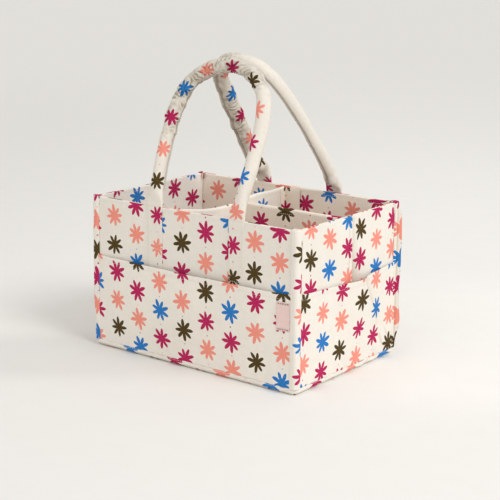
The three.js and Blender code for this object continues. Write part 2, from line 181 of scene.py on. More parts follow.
def add_ordered(tree, kind, output, settings, values):
    """The same for a node whose sockets share a name, so they are fed in order."""
    node = tree.nodes.new(f"ShaderNode{kind}")
    for key, setting in settings.items():
        setattr(node, key, setting)
    for socket, value in zip(node.inputs, values):
        feed(tree, socket, value)
    return Value(tree, node.outputs[output])


def calc(tree, operation, *values):
    return add_ordered(tree, "Math", "Value", {"operation": operation}, values)


def ramp(tree, value, low, high, to_low=0.0, to_high=1.0):
    """Carries a value from low..high to another range, smoothly and without overshoot."""
    settings = {"interpolation_type": "SMOOTHSTEP"}
    return add_ordered(tree, "MapRange", "Result", settings, (value, low, high, to_low, to_high))


def cloudy(tree, vector, scale, detail=2.0, roughness=0.5):
    return add_node(tree, "TexNoise", "Fac", Vector=vector, Scale=scale, Detail=detail, Roughness=roughness)


def blend_colours(tree, kind, share, first, second):
    settings = {"data_type": "RGBA", "blend_type": kind}
    return add_node(tree, "Mix", "Result", settings, Factor=share, A=first, B=second)


def split(tree, vector):
    """The X and the Y of a vector."""
    return [add_node(tree, "SeparateXYZ", axis, Vector=vector) for axis in "XY"]


def distance(x, y):
    return (x ** 2 + y ** 2).do("SQRT")


def open_group(name, inputs, outputs):
    """A node group, what it is given and its output sockets. inputs hold (name, kind, value)."""
    tree = bpy.data.node_groups.new(name, "ShaderNodeTree")
    for label, kind, value in inputs:
        socket = tree.interface.new_socket(label, in_out="INPUT", socket_type=f"NodeSocket{kind}")
        if value is not None:
            socket.default_value = value
    for label, kind in outputs:
        tree.interface.new_socket(label, in_out="OUTPUT", socket_type=f"NodeSocket{kind}")
    given = {socket.name: Value(tree, socket) for socket in tree.nodes.new("NodeGroupInput").outputs}
    return tree, given, tree.nodes.new("NodeGroupOutput").inputs


def use_group(tree, group, **values):
    node = tree.nodes.new("ShaderNodeGroup")
    node.node_tree = group
    feed_named(tree, node.inputs, values)
    return {socket.name: Value(tree, socket) for socket in node.outputs}


print("node helpers ready")

# %% [markdown]
# Plain-weave canvas: at each crossing either the upright thread or the level one is on top, in a
# checker. Two rectified sine waves give the round threads and a checker picks between them, all in
# metres on the cloth's own UV map, so the weave bends with the cloth and never swims. A longer noise
# along each thread gives the slubs that keep cotton from looking like plastic.

# %% Weave group
thread_stretch = 0.06
slub_scale = 900

weave, given, out = open_group(
    "canvas weave",
    [("Cloth", "Vector", None), ("Thread", "Float", 0.7 * mm)],
    [("Height", "Float"), ("Tone", "Float")],
)
threads = [place / given["Thread"] for place in split(weave, given["Cloth"])]
round_across, round_up = [(thread * math.pi).do("SINE").do("ABSOLUTE") for thread in threads]
upright_on_top = (threads[0].do("FLOOR") + threads[1].do("FLOOR")) % 2
upright = round_across * (round_up * 0.4 + 0.6)
lying = round_up * (round_across * 0.4 + 0.6)
picked = upright_on_top * upright + (1 - upright_on_top) * lying
slubs = []
for stretch in ((1, thread_stretch, 1), (thread_stretch, 1, 1)):
    settings = {"vector_type": "POINT"}
    stretched = add_node(weave, "Mapping", "Vector", settings, Vector=given["Cloth"], Scale=stretch)
    slubs.append(cloudy(weave, stretched, slub_scale, 1.0))
slub = slubs[0] + slubs[1]
feed(weave, out["Height"], slub * 0.35 + picked)
# Painted shade: the tone is a little darker where the threads dip between crossings; the slubs add the yarn's
# own real variation.
tone = ramp(weave, picked, 0.0, 1.0, 0.955, 1.0) + ramp(weave, slub, 0.7, 1.3, -0.02, 0.02)
feed(weave, out["Tone"], tone)
print("weave group:", len(weave.nodes), "nodes")

# %% [markdown]
# The print is a plain garden daisy in four inks, in the half-drop repeat that cloth printers use:
# every second column starts half a step lower. A picture could hold it, but nodes stay sharp at any
# distance. Each spot on the cloth finds its own cell, turns round the cell's middle into an angle and
# a distance, and asks whether it lies on a petal. The ink follows a set order through the columns.

# %% Daisy print group
petal_count = 8
petal_angle = 2 * math.pi / petal_count
petal_middle = 0.56
petal_half_length = 0.44
petal_half_width = 0.168
eye_share = 0.2
shortest_petal = 0.84
petal_spread = 0.2
share_without_dot = 0.62
dot_radius = 0.02
wobble_reach = 1.1 * mm
daisy_step = 39.2 * mm
daisy_radius = 15.6 * mm
ink_order = ["B81659", "F39584", "2079C4", "B81659", "F39584", "4A380B"]

print_group, given, out = open_group(
    "daisy print",
    [("Cloth", "Vector", None), ("Step", "Float", daisy_step), ("Columns", "Float", daisy_step),
     ("Radius", "Float", daisy_radius)],
    [("Ink", "Color"), ("Cover", "Float")],
)
wobble = add_node(print_group, "TexNoise", "Color", Vector=given["Cloth"], Scale=260)
drifted = add_ordered(print_group, "VectorMath", "Vector", {"operation": "MULTIPLY_ADD"},
                      (wobble, (wobble_reach, wobble_reach, 0), given["Cloth"]))
cloth_x, cloth_y = split(print_group, drifted)
column_place = cloth_x / given["Columns"]
column = column_place.do("FLOOR")
row_place = cloth_y / given["Step"] + column % 2 * 0.5
row = row_place.do("FLOOR")
from_middle_x = (column_place.do("FRACT") - 0.5) * (given["Columns"] / given["Step"])
from_middle_y = row_place.do("FRACT") - 0.5
cell = add_node(print_group, "CombineXYZ", "Vector", X=column, Y=row)
chance = add_node(print_group, "TexWhiteNoise", "Value", {"noise_dimensions": "2D"}, Vector=cell)
angle = from_middle_y.do("ARCTAN2", from_middle_x) + chance * (2 * math.pi)
petals_round = angle * (1 / petal_angle)
number = petals_round.do("FLOOR") % petal_count
petal = add_node(print_group, "CombineXYZ", "Vector", X=column, Y=row, Z=number)
petal_chance = add_node(print_group, "TexWhiteNoise", "Value", {"noise_dimensions": "3D"}, Vector=petal)
scaled = distance(from_middle_x, from_middle_y) * given["Step"] / given["Radius"]
share = scaled / (petal_chance * petal_spread + shortest_petal)
off_axis = (petals_round.do("FRACT") - 0.5) * petal_angle
along_petal = (share * off_axis.do("COSINE") - petal_middle) / petal_half_length
across_petal = share * off_axis.do("SINE") / petal_half_width
petals = ramp(print_group, along_petal ** 2 + across_petal ** 2, 0.86, 1.1, 1.0, 0.0)
eye = ramp(print_group, scaled, eye_share, eye_share + 0.04, 1.0, 0.0)
dot_reach = distance(from_middle_x, 0.5 - from_middle_y.do("ABSOLUTE"))
dot = ramp(print_group, chance, share_without_dot, share_without_dot + 0.01)
dot = dot * ramp(print_group, dot_reach, dot_radius, dot_radius + 0.012, 1.0, 0.0)
shape = petals.do("MAXIMUM", eye).do("MAXIMUM", dot)
order = (column * 2 + row * 5) % len(ink_order)
inks = print_group.nodes.new("ShaderNodeValToRGB")
inks.color_ramp.interpolation = "CONSTANT"
feed(print_group, inks.inputs["Fac"], (order + 0.5) / len(ink_order))
for index, ink in enumerate(ink_order):
    stops = inks.color_ramp.elements
    stop = stops[0] if index == 0 else stops[-1] if index == 1 else stops.new(index / len(ink_order))
    stop.position = index / len(ink_order)
    stop.color = linear(ink)
patchy = ramp(print_group, cloudy(print_group, given["Cloth"], 420, 3.0), 0.3, 0.7, 0.97, 1.0)
feed(print_group, out["Ink"], inks.outputs["Color"])
feed(print_group, out["Cover"], shape * patchy)
print("print group:", len(print_group.nodes), "nodes")

# %% [markdown]
# Cloth that is carried every day is never one even colour. Broad, faint clouds in object space stand
# for handling and washing, and a second, finer cloud for lint. The group only gives a tone near one.

# %% Handling group
handling, given, out = open_group("handling", [("Place", "Vector", None)], [("Tone", "Float")])
broad = ramp(handling, cloudy(handling, given["Place"], 14, 3.0), 0.3, 0.7, 0.965, 1.0)
fine = ramp(handling, cloudy(handling, given["Place"], 160, 2.0), 0.3, 0.7, 0.985, 1.0)
feed(handling, out["Tone"], broad * fine)
print("handling group:", len(handling.nodes), "nodes")

# %% [markdown]
# One recipe serves every cloth: a ground colour, the print over it, painted shade where the geometry
# says that it is folded, the weave's tone and the weave's relief. A separate material for each piece
# would drift apart, so only the ground, the thread and the print's size differ between them. The lining
# also has a lighter copy, painted light for the wall that looks towards the window.

# %% Cloth materials
# Painted shade: tints that darken cloth where its fold attribute says that it is folded, creased or gathered.
painted_fold_shade = "C3B29C"
painted_gather_shade = "BAB5AC"
handle_columns = 60 * mm


def open_material(name):
    material = bpy.data.materials.new(name)
    material.use_nodes = True
    tree = material.node_tree
    return material, tree, tree.nodes["Principled BSDF"].inputs


def cloth_material(name, ground, printed=True, thread=0.7 * mm, roughness=0.86, step=daisy_step,
                   columns=daisy_step, radius=daisy_radius, painted_shade_in_folds=painted_fold_shade):
    material, tree, surface = open_material(name)
    cloth = add_node(tree, "UVMap", "UV", {"uv_map": "cloth"})
    woven = use_group(tree, weave, Cloth=cloth, Thread=thread)
    colour = linear(ground)
    if printed:
        daisies = use_group(tree, print_group, Cloth=cloth, Step=step, Columns=columns, Radius=radius)
        colour = blend_colours(tree, "MIX", daisies["Cover"], colour, daisies["Ink"])
    # Painted shade: the fold attribute darkens the colour in folds, creases and gathers.
    folds = add_node(tree, "Attribute", "Fac", {"attribute_name": "fold"})
    colour = blend_colours(tree, "MULTIPLY", folds, colour, linear(painted_shade_in_folds))
    tone = woven["Tone"] * use_group(tree, handling, Place=add_node(tree, "TexCoord", "Object"))["Tone"]
    feed_named(tree, surface, {
        "Base Color": blend_colours(tree, "MULTIPLY", 1.0, colour, tone),
        "Roughness": ramp(tree, woven["Height"], 0.2, 1.6, roughness + 0.06, roughness - 0.04),
        "Specular IOR Level": 0.12,
        "Sheen Weight": 0.02,
        "Sheen Roughness": 0.5,
        "Normal": add_node(tree, "Bump", "Normal", Strength=0.35, Distance=0.25 * mm, Height=woven["Height"]),
    })
    return material


canvas_cloth = cloth_material("printed canvas", "EFE9DF")
pocket_cloth = cloth_material("printed pocket cloth", "F1EBE1")
handle_cloth = cloth_material("printed handle cloth", "ECE6DB", step=43 * mm, columns=handle_columns,
                              radius=12.8 * mm, painted_shade_in_folds=painted_gather_shade)
spine_cloth = cloth_material("printed divider cloth", "FFFAEF", step=62 * mm, columns=70 * mm)
lining_cloth = cloth_material("printed lining", "FFF4E5", thread=0.55 * mm)
# Painted light: a lighter copy of the lining for the left wall, whose inner face looks towards the window.
lining_cloth_painted_light = cloth_material("printed lining with painted window light", "FFFBF4", thread=0.55 * mm)
thread_cotton = cloth_material("sewing thread", "F4EFE6", printed=False, thread=0.3 * mm, roughness=0.6)
dark_thread = cloth_material("dark sewing thread", "4A3830", printed=False, thread=0.3 * mm, roughness=0.6)
ribbon_cloth = cloth_material("woven ribbon", "EDD2CC", printed=False, thread=0.35 * mm, roughness=0.7)
tape_cloth = cloth_material("hook and loop tape", "ECE9E1", printed=False, thread=1.1 * mm, roughness=0.95)
print("cloth materials:", [m.name for m in bpy.data.materials if m.users or m.use_nodes])

# %% [markdown]
# The stiffening boards and the handle cores lie inside the cloth. They stay the CAD's own solids, but
# for the spine's board, which is bent further down. The boards get a finish of their own: a closed-cell
# sheet with fine cells in its tone and its relief.

# %% Board material
def board_material(name, colour, scale, low_tone, depth, roughness):
    material, tree, surface = open_material(name)
    place = add_node(tree, "TexCoord", "Object")
    cells = add_node(tree, "TexVoronoi", "Distance", Vector=place, Scale=scale)
    tone = ramp(tree, cells, 0.0, 0.8, low_tone, 1.0)
    feed_named(tree, surface, {
        "Base Color": blend_colours(tree, "MULTIPLY", 1.0, linear(colour), tone),
        "Roughness": ramp(tree, cloudy(tree, place, scale / 3), 0.3, 0.7, roughness, roughness + 0.1),
        "Normal": add_node(tree, "Bump", "Normal", Strength=0.4, Distance=depth, Height=cells),
    })
    return material


board_plastic = board_material("stiffening board", "C9C2B6", 700, 0.9, 0.1 * mm, 0.6)
for name, node in frame["nodes"].items():
    if name.endswith("_board"):
        node.data.materials.clear()
        node.data.materials.append(board_plastic)
print("boards dressed:", sum(name.endswith("_board") for name in frame["nodes"]))

# %% [markdown]
# Every cloth piece below starts as a flat grid from create_grid. A rule then says where each spot of
# the grid goes in space and where it was on the flat cloth, and the second answer becomes the UV map,
# in metres. Lofts and curves could make some of these shapes, but one rule per cloth keeps the hem,
# the waves and the print in step. A tube is the same grid with its two long edges welded.

# %% Helpers for cloth
def cloud(x, y, seed, size):
    """Smooth noise from about -1 to 1 whose lumps are size across. Always the same for the same place."""
    return noise.noise(Vector((x / size + seed * 7.3, y / size - seed * 3.1, seed)))


def smooth(value):
    t = min(max(value, 0.0), 1.0)
    return t * t * (3 - 2 * t)


def mix(low, high, share):
    return low + (high - low) * share


def bell(value, middle, width):
    return math.exp(-(((value - middle) / width) ** 2))


def lay(across, up, place):
    """A grid laid through space. place(u, v) gives a point, its spot on the flat cloth and the painted shade
    of its fold.
    """
    mesh = bmesh.new()
    bmesh.ops.create_grid(mesh, x_segments=across, y_segments=up, size=0.5)
    flat = mesh.loops.layers.uv.new("cloth")
    folds = mesh.verts.layers.float.new("fold")
    spots = {vert: place(vert.co.x + 0.5, vert.co.y + 0.5) for vert in mesh.verts}
    for vert, (point, _, *fold) in spots.items():
        vert.co = point
        vert[folds] = fold[0] if fold else 0.0
    for face in mesh.faces:
        face.smooth = True
        for loop in face.loops:
            loop[flat].uv = spots[loop.vert][1]
    return mesh


def close_up(mesh):
    """Welds a grid's long edges into a tube and fills its two ends."""
    bmesh.ops.remove_doubles(mesh, verts=mesh.verts, dist=0.01 * mm)
    bmesh.ops.holes_fill(mesh, edges=[edge for edge in mesh.edges if edge.is_boundary], sides=0)
    bmesh.ops.recalc_face_normals(mesh, faces=mesh.faces)
    return mesh


def lengths_along(points):
    """How far each point of a line lies from its start."""
    lengths = [0.0]
    for a, b in zip(points, points[1:]):
        lengths.append(lengths[-1] + (b - a).length)
    return lengths


def find_along(points, lengths, want):
    """Where a distance along a line falls: the spot, the number of its piece and the share of it."""
    index = min(max(bisect_left(lengths, want) - 1, 0), len(points) - 2)
    part = (want - lengths[index]) / max(lengths[index + 1] - lengths[index], 1e-9)
    return points[index].lerp(points[index + 1], part), index, part


def trace(run, parts, heading):
    """Follows a flat path for a distance: (x, y, heading). parts hold (length, turn)."""
    x = y = 0.0
    for length, turn in parts:
        step = min(run, length)
        ahead = heading
        if turn:
            ahead += turn * step / length
            x += length / turn * (math.sin(ahead) - math.sin(heading))
            y += length / turn * (math.cos(heading) - math.cos(ahead))
        else:
            x += step * math.cos(heading)
            y += step * math.sin(heading)
        heading = ahead
        run -= step
    return x, y, heading


def width_of(place, v):
    """The width a cloth was cut to: the length of the row at v, measured over its folds."""
    return lengths_along([place(i / 80, v)[0] for i in range(81)])[-1]


def make_piece(mesh, name, material, nodes=(), body="root", thickness=0, rounded=0):
    """Turns a bmesh into a finished piece that rides on a CAD body and stands for CAD nodes."""
    data = bpy.data.meshes.new(name)
    mesh.to_mesh(data)
    mesh.free()
    data.materials.append(material)
    piece = bpy.data.objects.new(name, data)
    scene.collection.objects.link(piece)
    if thickness:
        wall = piece.modifiers.new("thickness", "SOLIDIFY")
        wall.thickness = thickness
        wall.offset = -1
    if rounded:
        soften = piece.modifiers.new("rounding", "SUBSURF")
        soften.levels = soften.render_levels = rounded
    if body:
        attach(piece, body)
    if nodes:
        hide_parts(*nodes)
    return piece


print("cloth helpers ready")

# %% [markdown]
# The four walls are alike but for their direction, so each wall gets its own small frame: which way is
# along it, which way is out of it, where its outer cloth lies and how long it is. All sizes come from
# the CAD nodes' boxes. A soft wall isn't quite true: between its held corners it leans by up to a
# millimetre, and its rim dips. Cloth, straps, pockets and lining share those two small errors.

# %% The walls' own directions
front_low, front_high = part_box("front_panel")
right_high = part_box("right_panel")[1]
rim = front_high.z
wall_y = -front_low.y
wall_x = right_high.x
wall_thickness = wall_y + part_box("front_lining")[1].y
cloth_thickness = 1.1 * mm

# Along the wall, out of it, how far out its cloth lies, half its length and the seed of its noise.
walls = {
    "front": (ALONG_X, -ALONG_Y, wall_y, front_high.x, 1),
    "right": (ALONG_Y, ALONG_X, wall_x, right_high.y, 2),
    "rear": (-ALONG_X, ALONG_Y, wall_y, front_high.x, 3),
    "left": (-ALONG_Y, -ALONG_X, wall_x, right_high.y, 4),
}


def on_wall(side, along, outward, up):
    run, facing, distance, _, _ = walls[side]
    return run * along + facing * (distance + outward) + UP * up


def inner_half(side):
    """Half the length of a wall's inner face."""
    return (wall_x if side in ("front", "rear") else wall_y) - wall_thickness


def print_place(seed, shift, along, travel):
    """A spot on the flat cloth. Each piece is cut from a part of the print of its own."""
    return along + seed * shift[0], travel + seed * shift[1]


def wall_lean(side, along, up):
    """How far the whole wall stands out of true at a place."""
    half, seed = walls[side][3:]
    held = 1 - min(abs(along) / half, 1) ** 4
    wave = cloud(along, 0, seed, 0.13) + 0.3 * cloud(along, up, seed + 9, 0.07)
    return 0.9 * mm * held * smooth(up / rim) * wave


def rim_height(side, along):
    half, seed = walls[side][3:]
    held = 1 - min(abs(along) / half, 1) ** 2
    return rim + 0.9 * mm * held * cloud(along, 0, seed + 20, 0.09)


print("walls:", {side: round(values[3] * 2, 4) for side, values in walls.items()})

# %% [markdown]
# The outer cloth of a wall runs up from under the base cloth, turns over the rim in a small roll and
# tucks down into the wall. A row of stitches five millimetres under the edge pulls it in. The grid
# spends a fifth of its rows on the roll, which is what the eye reads as real thickness.

# %% Outer cloth of the walls
panel_foot = front_low.z
roll_radius = 1.15 * mm
tuck_depth = 6 * mm
stitch_drop = 5 * mm
straight_share = 0.8
roll_share = 0.14
cloth_shift = (111 * mm, 57 * mm)
pleat_place = 1 * mm
pleat_tilt = 0.02
pleat_edge = 1.2 * mm
pleat_tuck = 9 * mm
second_pleat = -6 * mm


def over_the_rim(v, foot, top, radius, flat=0.0):
    """Follows a cloth up and over an edge: (how far in, how high, how much cloth) at v from 0 to 1."""
    climb = top - radius - foot
    bend = math.pi * radius + flat
    past_straight = v - straight_share
    past_roll = past_straight - roll_share
    if past_straight <= 0:
        run = climb * v / straight_share
    elif past_roll <= 0:
        run = climb + bend * past_straight / roll_share
    else:
        run = climb + bend + tuck_depth * past_roll / (1 - straight_share - roll_share)
    quarter = (math.pi * radius / 2, -math.pi / 2)
    inward, up, _ = trace(run, ((climb, 0), quarter, (flat, 0), quarter, (tuck_depth, 0)), math.pi / 2)
    return inward, foot + up, run


def seam_pull(gap, depth=0.45 * mm, width=1.6 * mm):
    """How far a row of stitches pulls cloth in, by the distance from the row."""
    return -depth * bell(gap, 0, width)


def rim_swell(top, up):
    """The turned edge is three layers thick, so it stands out above its stitches."""
    return 0.45 * mm * smooth((up - top + stitch_drop) / (1.5 * mm))


def wall_wave(side, along, up):
    """The cloth's own soft waves over its board."""
    half, seed = walls[side][3:]
    held = smooth((half - abs(along)) / (14 * mm))
    wave = 0.5 * mm * cloud(along, up, seed + 30, 0.045) + 0.22 * mm * cloud(along, up, seed + 31, 0.018)
    if side == "right":
        wave += end_wall_crease(along, up)
    return wave * held


def pleat_gap(along, up):
    return along - pleat_place - pleat_tilt * (rim - up)


def pleat_length(up):
    return smooth((up - 60 * mm) / (50 * mm)) * smooth((rim + 4 * mm - up) / (8 * mm))


pocket_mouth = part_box("right_pocket")[1].z


def end_wall_crease(along, up):
    """A soft pleat: the near half of the right-hand wall stands over the far half along an upright edge."""
    gap = pleat_gap(along, up)
    near = math.exp(min(gap, 0) / (50 * mm))
    step = smooth(gap / pleat_edge)
    tall = pleat_length(up)
    beyond = 1.8 * bell(gap, 9 * mm, 5 * mm) + 1.2 * bell(gap, 29 * mm, 7 * mm) - bell(gap, 2.5 * mm, 3 * mm)
    second = -0.7 * bell(gap, second_pleat, 1.3 * mm)
    return (2.9 * near * (1 - step) + beyond * step + second) * mm * tall


def outer_face(side, along, up):
    """A spot on a wall's outer cloth, below the roll."""
    top = rim_height(side, along)
    outward = wall_lean(side, along, up) + wall_wave(side, along, up) + seam_pull(top - stitch_drop - up)
    return on_wall(side, along, outward + rim_swell(top, up), up)


def build_outer_cloth(side):
    _, facing, _, half, seed = walls[side]
    reach = half + 1.5 * mm

    def place(u, v):
        along = reach * (2 * u - 1)
        inward, up, travel = over_the_rim(v, panel_foot, rim_height(side, along), roll_radius)
        spot = outer_face(side, along, up) - facing * inward
        if side != "right":
            return spot, print_place(seed, cloth_shift, along, travel)
        gap = pleat_gap(along, up)
        hidden = pleat_tuck * smooth(gap / pleat_edge)
        # Painted shade, kept as the fold attribute: darker in the pleat's valley, along the second crease and
        # above the pocket's mouth.
        above_mouth = smooth(gap / (2 * mm)) * bell(gap, 3 * mm, 13 * mm) * bell(up, pocket_mouth, 26 * mm)
        fold = (0.75 * bell(gap, 1.4 * mm, 1.3 * mm) + 0.16 * smooth(gap / (2 * mm)) * bell(gap, 0, 9 * mm)
                + 0.4 * bell(gap, second_pleat, 0.9 * mm) + 0.4 * above_mouth) * pleat_length(up)
        return spot, print_place(seed, cloth_shift, along + hidden, travel), fold

    columns = round(2 * reach / ((1.0 if side == "right" else 2.8) * mm))
    piece = make_piece(lay(columns, 90, place), f"{side}_wall_cloth", canvas_cloth,
                       [f"{side}_panel"], thickness=cloth_thickness)


for side in walls:
    build_outer_cloth(side)
print("outer cloth on", len(walls), "walls")

# %% [markdown]
# The lining is a second bag inside the first. Its wall cloths roll over the rim from within, so that
# the rim shows two small rolls side by side. At each inner corner the cloth dives into the seam.

# %% Lining of the walls and the floor
floor_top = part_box("floor_lining")[1].z
lining_thickness = 0.9 * mm
lining_shift = (133 * mm, 71 * mm)
lining_start = 500 * mm
floor_shift = (900 * mm, 300 * mm)


def lining_face(side, along, up):
    half, seed = walls[side][3:]
    top = rim_height(side, along)
    ripple = 0.45 * mm * cloud(along, up, seed + 40, 0.05) * smooth((half - abs(along)) / (20 * mm))
    outward = -wall_thickness + wall_lean(side, along, up) + ripple - seam_pull(top - stitch_drop - up)
    return on_wall(side, along, outward, up)


def build_wall_lining(side):
    _, facing, _, half, seed = walls[side]
    reach = inner_half(side) + 0.5 * mm
    start = lining_start + (2 * daisy_step if side == "front" else 0)

    def place(u, v):
        along = reach * (1 - 2 * u)
        top = rim_height(side, along)
        outward, up, travel = over_the_rim(v, floor_top - 0.6 * mm, top, roll_radius + 0.3 * mm)
        spot = lining_face(side, along, up) + facing * outward
        return spot, print_place(seed, lining_shift, start - along, travel)

    columns = round(2 * reach / (3 * mm))
    # The left wall takes the lighter lining: painted light.
    material = lining_cloth_painted_light if side == "left" else lining_cloth
    piece = make_piece(lay(columns, 80, place), f"{side}_lining_cloth", material,
                       [f"{side}_lining"], thickness=lining_thickness)
    2 * reach


def build_floor_lining():
    half_x = wall_x - wall_thickness - 0.2 * mm
    half_y = wall_y - wall_thickness - 0.2 * mm

    def place(u, v):
        x = half_x * (2 * u - 1)
        y = half_y * (2 * v - 1)
        edge = min(half_x - abs(x), half_y - abs(y))
        lift = 0.35 * mm * cloud(x, y, 50, 0.06) * smooth(edge / (25 * mm))
        up = floor_top + lift - 0.5 * mm * bell(edge, 0, 2 * mm)
        return Vector((x, y, up)), print_place(1, floor_shift, x, y)

    piece = make_piece(lay(110, 76, place), "floor_lining_cloth", lining_cloth,
                       ["floor_lining"], thickness=lining_thickness)


for side in walls:
    build_wall_lining(side)
build_floor_lining()
print("lining: four walls and a floor")

# %% [markdown]
# Four strips bind the upright corners. Each is folded along its edges, wraps the corner from one face
# to the other and turns over the rim. The rule works in the corner's own quarter: two distances in
# from the two outer faces. Moving inwards just holds both distances above the depth, which gives a
# clean inside corner without a special case.

# %% Corner bindings
binding_proud = 1.2 * mm
corner_x = wall_x + binding_proud
corner_y = wall_y + binding_proud
binding_reach = corner_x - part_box("front_right_binding")[0].x
binding_thickness = 1.3 * mm
binding_shift = (21 * mm, 13 * mm)
pinched_binding = "rear_right_binding"
# Which corner it is, by the signs of X and Y, the corner's radius and the seed of its noise.
corners = {
    "front_left_binding": (-1, -1, 5 * mm, 61),
    "front_right_binding": (1, -1, 4 * mm, 62),
    "rear_right_binding": (1, 1, 4.5 * mm, 63),
    "rear_left_binding": (-1, 1, 5 * mm, 64),
}


def corner_path(w, corner_radius):
    """The outside of a corner: the distances in from the X face and the Y face, at w from -1 to 1."""
    half_arc = corner_radius * math.pi / 4
    travel = abs(w) * (binding_reach - corner_radius + half_arc)
    turn = math.pi / 4 - min(travel / corner_radius, math.pi / 4)
    near = corner_radius * (1 - math.cos(turn))
    far = corner_radius * (1 - math.sin(turn)) + max(travel - half_arc, 0)
    return (near, far) if w > 0 else (far, near)


def binding_spot(name, w, up, inward):
    sign_x, sign_y, corner_radius, seed = corners[name]
    in_x, in_y = corner_path(w, corner_radius)
    near_corner = smooth(1 - abs(w) * 1.3)
    if name == pinched_binding:
        held = smooth((up - 12 * mm) / (30 * mm)) * smooth((rim - 2 * mm - up) / (16 * mm))
        pinched = 4.6 * mm * held * (0.8 + 0.45 * cloud(up, 0, seed, 0.035)) * bell(w, 0, 0.34)
        bulge = pinched / max(near_corner, 0.05)
    else:
        held = smooth(up / (60 * mm)) * smooth((rim - up) / (60 * mm))
        bulge = 1.3 * mm * held * (0.6 + cloud(up, 0, seed, 0.08))
    crinkle = 0.35 * mm * cloud(w * 0.01, up, seed + 5, 0.016)
    outward = bulge * near_corner + crinkle - (binding_proud + 0.5 * mm) * smooth((abs(w) - 0.84) / 0.16)
    x = max(in_x, inward) - outward
    y = max(in_y, inward) - outward
    drift = 0.5 * mm * cloud(up, 3, seed + 7, 0.05)
    if in_x >= corner_radius:
        x = max(in_x + drift, inward)
    if in_y >= corner_radius:
        y = max(in_y + drift, inward)
    return Vector((sign_x * (corner_x - x), sign_y * (corner_y - y), up))


def build_binding(name):
    sign_x, sign_y, _, seed = corners[name]
    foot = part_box(name)[0].z - 1.5 * mm
    handed = sign_x * sign_y
    flat = wall_thickness + 1.0 * mm

    def place(u, v):
        w = (2 * u - 1) * handed
        inward, up, travel = over_the_rim(v, foot, rim + 0.4 * mm, 1.2 * mm, flat)
        spot = binding_spot(name, w, up, inward)
        if name == pinched_binding:
            # Painted shade on the pinched corner: darker along two lines either side of its ridge and a
            # little over the ridge.
            groove_painted_shade = 0.55 * bell(abs(w), 0.5, 0.12) + 0.28 * bell(w, 0, 0.35)
            return spot, (w * binding_reach + 9.5 * daisy_step - 1 * mm, travel + 31 * mm), groove_painted_shade
        return spot, print_place(seed, binding_shift, w * binding_reach, travel)

    piece = make_piece(lay(20, 90, place), f"{name}_cloth", canvas_cloth, [name],
                       thickness=binding_thickness, rounded=1)
    width_of(place, 0.4)


for name in corners:
    build_binding(name)
print("bindings:", len(corners))

# %% [markdown]
# The base cloth is a shallow tray. It rolls round the lower edge, climbs nine millimetres and ends in
# a turned edge sewn to the walls. A bevelled box would do for the outline, but the roll has to swell
# and pinch a little between stitches, so its section is swept round a rounded rectangle instead.

# %% Base cloth
base_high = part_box("base_cloth")[1]
base_rise = base_high.z
base_roll = 7 * mm
base_corner = 8 * mm
base_margin = 7.9 * mm
base_print_shift = 222.1 * mm
edge_radius = 0.7 * mm
edge_cloth = 3.2 * mm
edge_cloth_per_radian = 0.9 * mm


def round_rectangle(share, half_x, half_y, radius):
    """A spot on a rounded rectangle, its outward direction and the distance to it, at a share of a lap."""
    corner = (radius * math.pi / 2, math.pi / 2)
    parts = ((2 * (half_x - radius), 0), corner, (2 * (half_y - radius), 0), corner) * 2
    lap = sum(length for length, _ in parts)
    x, y, heading = trace(share % 1.0 * lap, parts, 0.0)
    outward = Vector((math.sin(heading), -math.cos(heading), 0))
    return Vector((x - half_x + radius, y - half_y, 0)), outward, share * lap


def base_section(v):
    """Across the base cloth, from under the floor to the turned edge: (how far in, how high, how much)."""
    floor_run = base_margin - base_roll
    arc = base_roll * math.pi / 2
    climb = base_rise - base_roll - edge_radius
    below_edge = floor_run + arc + climb
    run = v * (below_edge + edge_cloth)
    turned = edge_radius * min(max(run - below_edge, 0) / edge_cloth_per_radian, math.pi)
    parts = ((floor_run, 0), (arc, math.pi / 2), (climb, 0), (edge_radius * math.pi, math.pi))
    outward, up, _ = trace(min(run, below_edge) + turned, parts, 0.0)
    return base_margin - outward, up, run


def base_spot(share, v):
    spot, outward, travel = round_rectangle(share, base_high.x, base_high.y, base_corner)
    inward, up, run = base_section(v)
    side_part = smooth((up - 1 * mm) / (4 * mm))
    swell = 0.9 * mm * bell(up, 4.5 * mm, 3 * mm) + 0.5 * mm * side_part * cloud(spot.x, spot.y, 70, 0.04)
    pull = seam_pull(base_rise - 1.8 * mm - up, 0.35 * mm, 0.8 * mm) * (1 if inward < 0.3 * mm else 0)
    lift = 0.5 * mm * side_part * cloud(spot.x, spot.y, 71, 0.06)
    crumpled = smooth((spot.x - base_high.x + 30 * mm) / (25 * mm)) * smooth((spot.y + 30 * mm) / (60 * mm))
    crumpled *= side_part
    swell += (0.7 + 2.6 * cloud(spot.y - spot.x, 2 * up, 75, 0.014)) * mm * crumpled
    lift += 1.4 * mm * crumpled * cloud(spot.y - spot.x, 0, 76, 0.02)
    return spot + outward * (swell + pull - inward) + UP * (up + lift), (travel, run + base_print_shift)


def build_base_cloth():
    mesh = lay(340, 26, base_spot)
    bmesh.ops.remove_doubles(mesh, verts=mesh.verts, dist=0.01 * mm)
    hole = [edge for edge in mesh.edges if edge.is_boundary and edge.verts[0].co.z < 0.1 * mm]
    bottom = bmesh.ops.holes_fill(mesh, edges=hole, sides=0)["faces"]
    bottom = bmesh.ops.triangulate(mesh, faces=bottom)["faces"]
    flat = mesh.loops.layers.uv["cloth"]
    for face in bottom:
        for loop in face.loops:
            loop[flat].uv = loop.vert.co.xy
    bmesh.ops.recalc_face_normals(mesh, faces=mesh.faces)
    piece = make_piece(mesh, "base_tray_cloth", canvas_cloth, ["base_cloth"],
                       thickness=cloth_thickness)
    rolled_up = base_section(1)[2] - base_margin
    2 * (base_high.x + rolled_up)
    2 * (base_high.y + rolled_up)


build_base_cloth()
print("base cloth rises", round(base_rise / mm, 1), "mm")

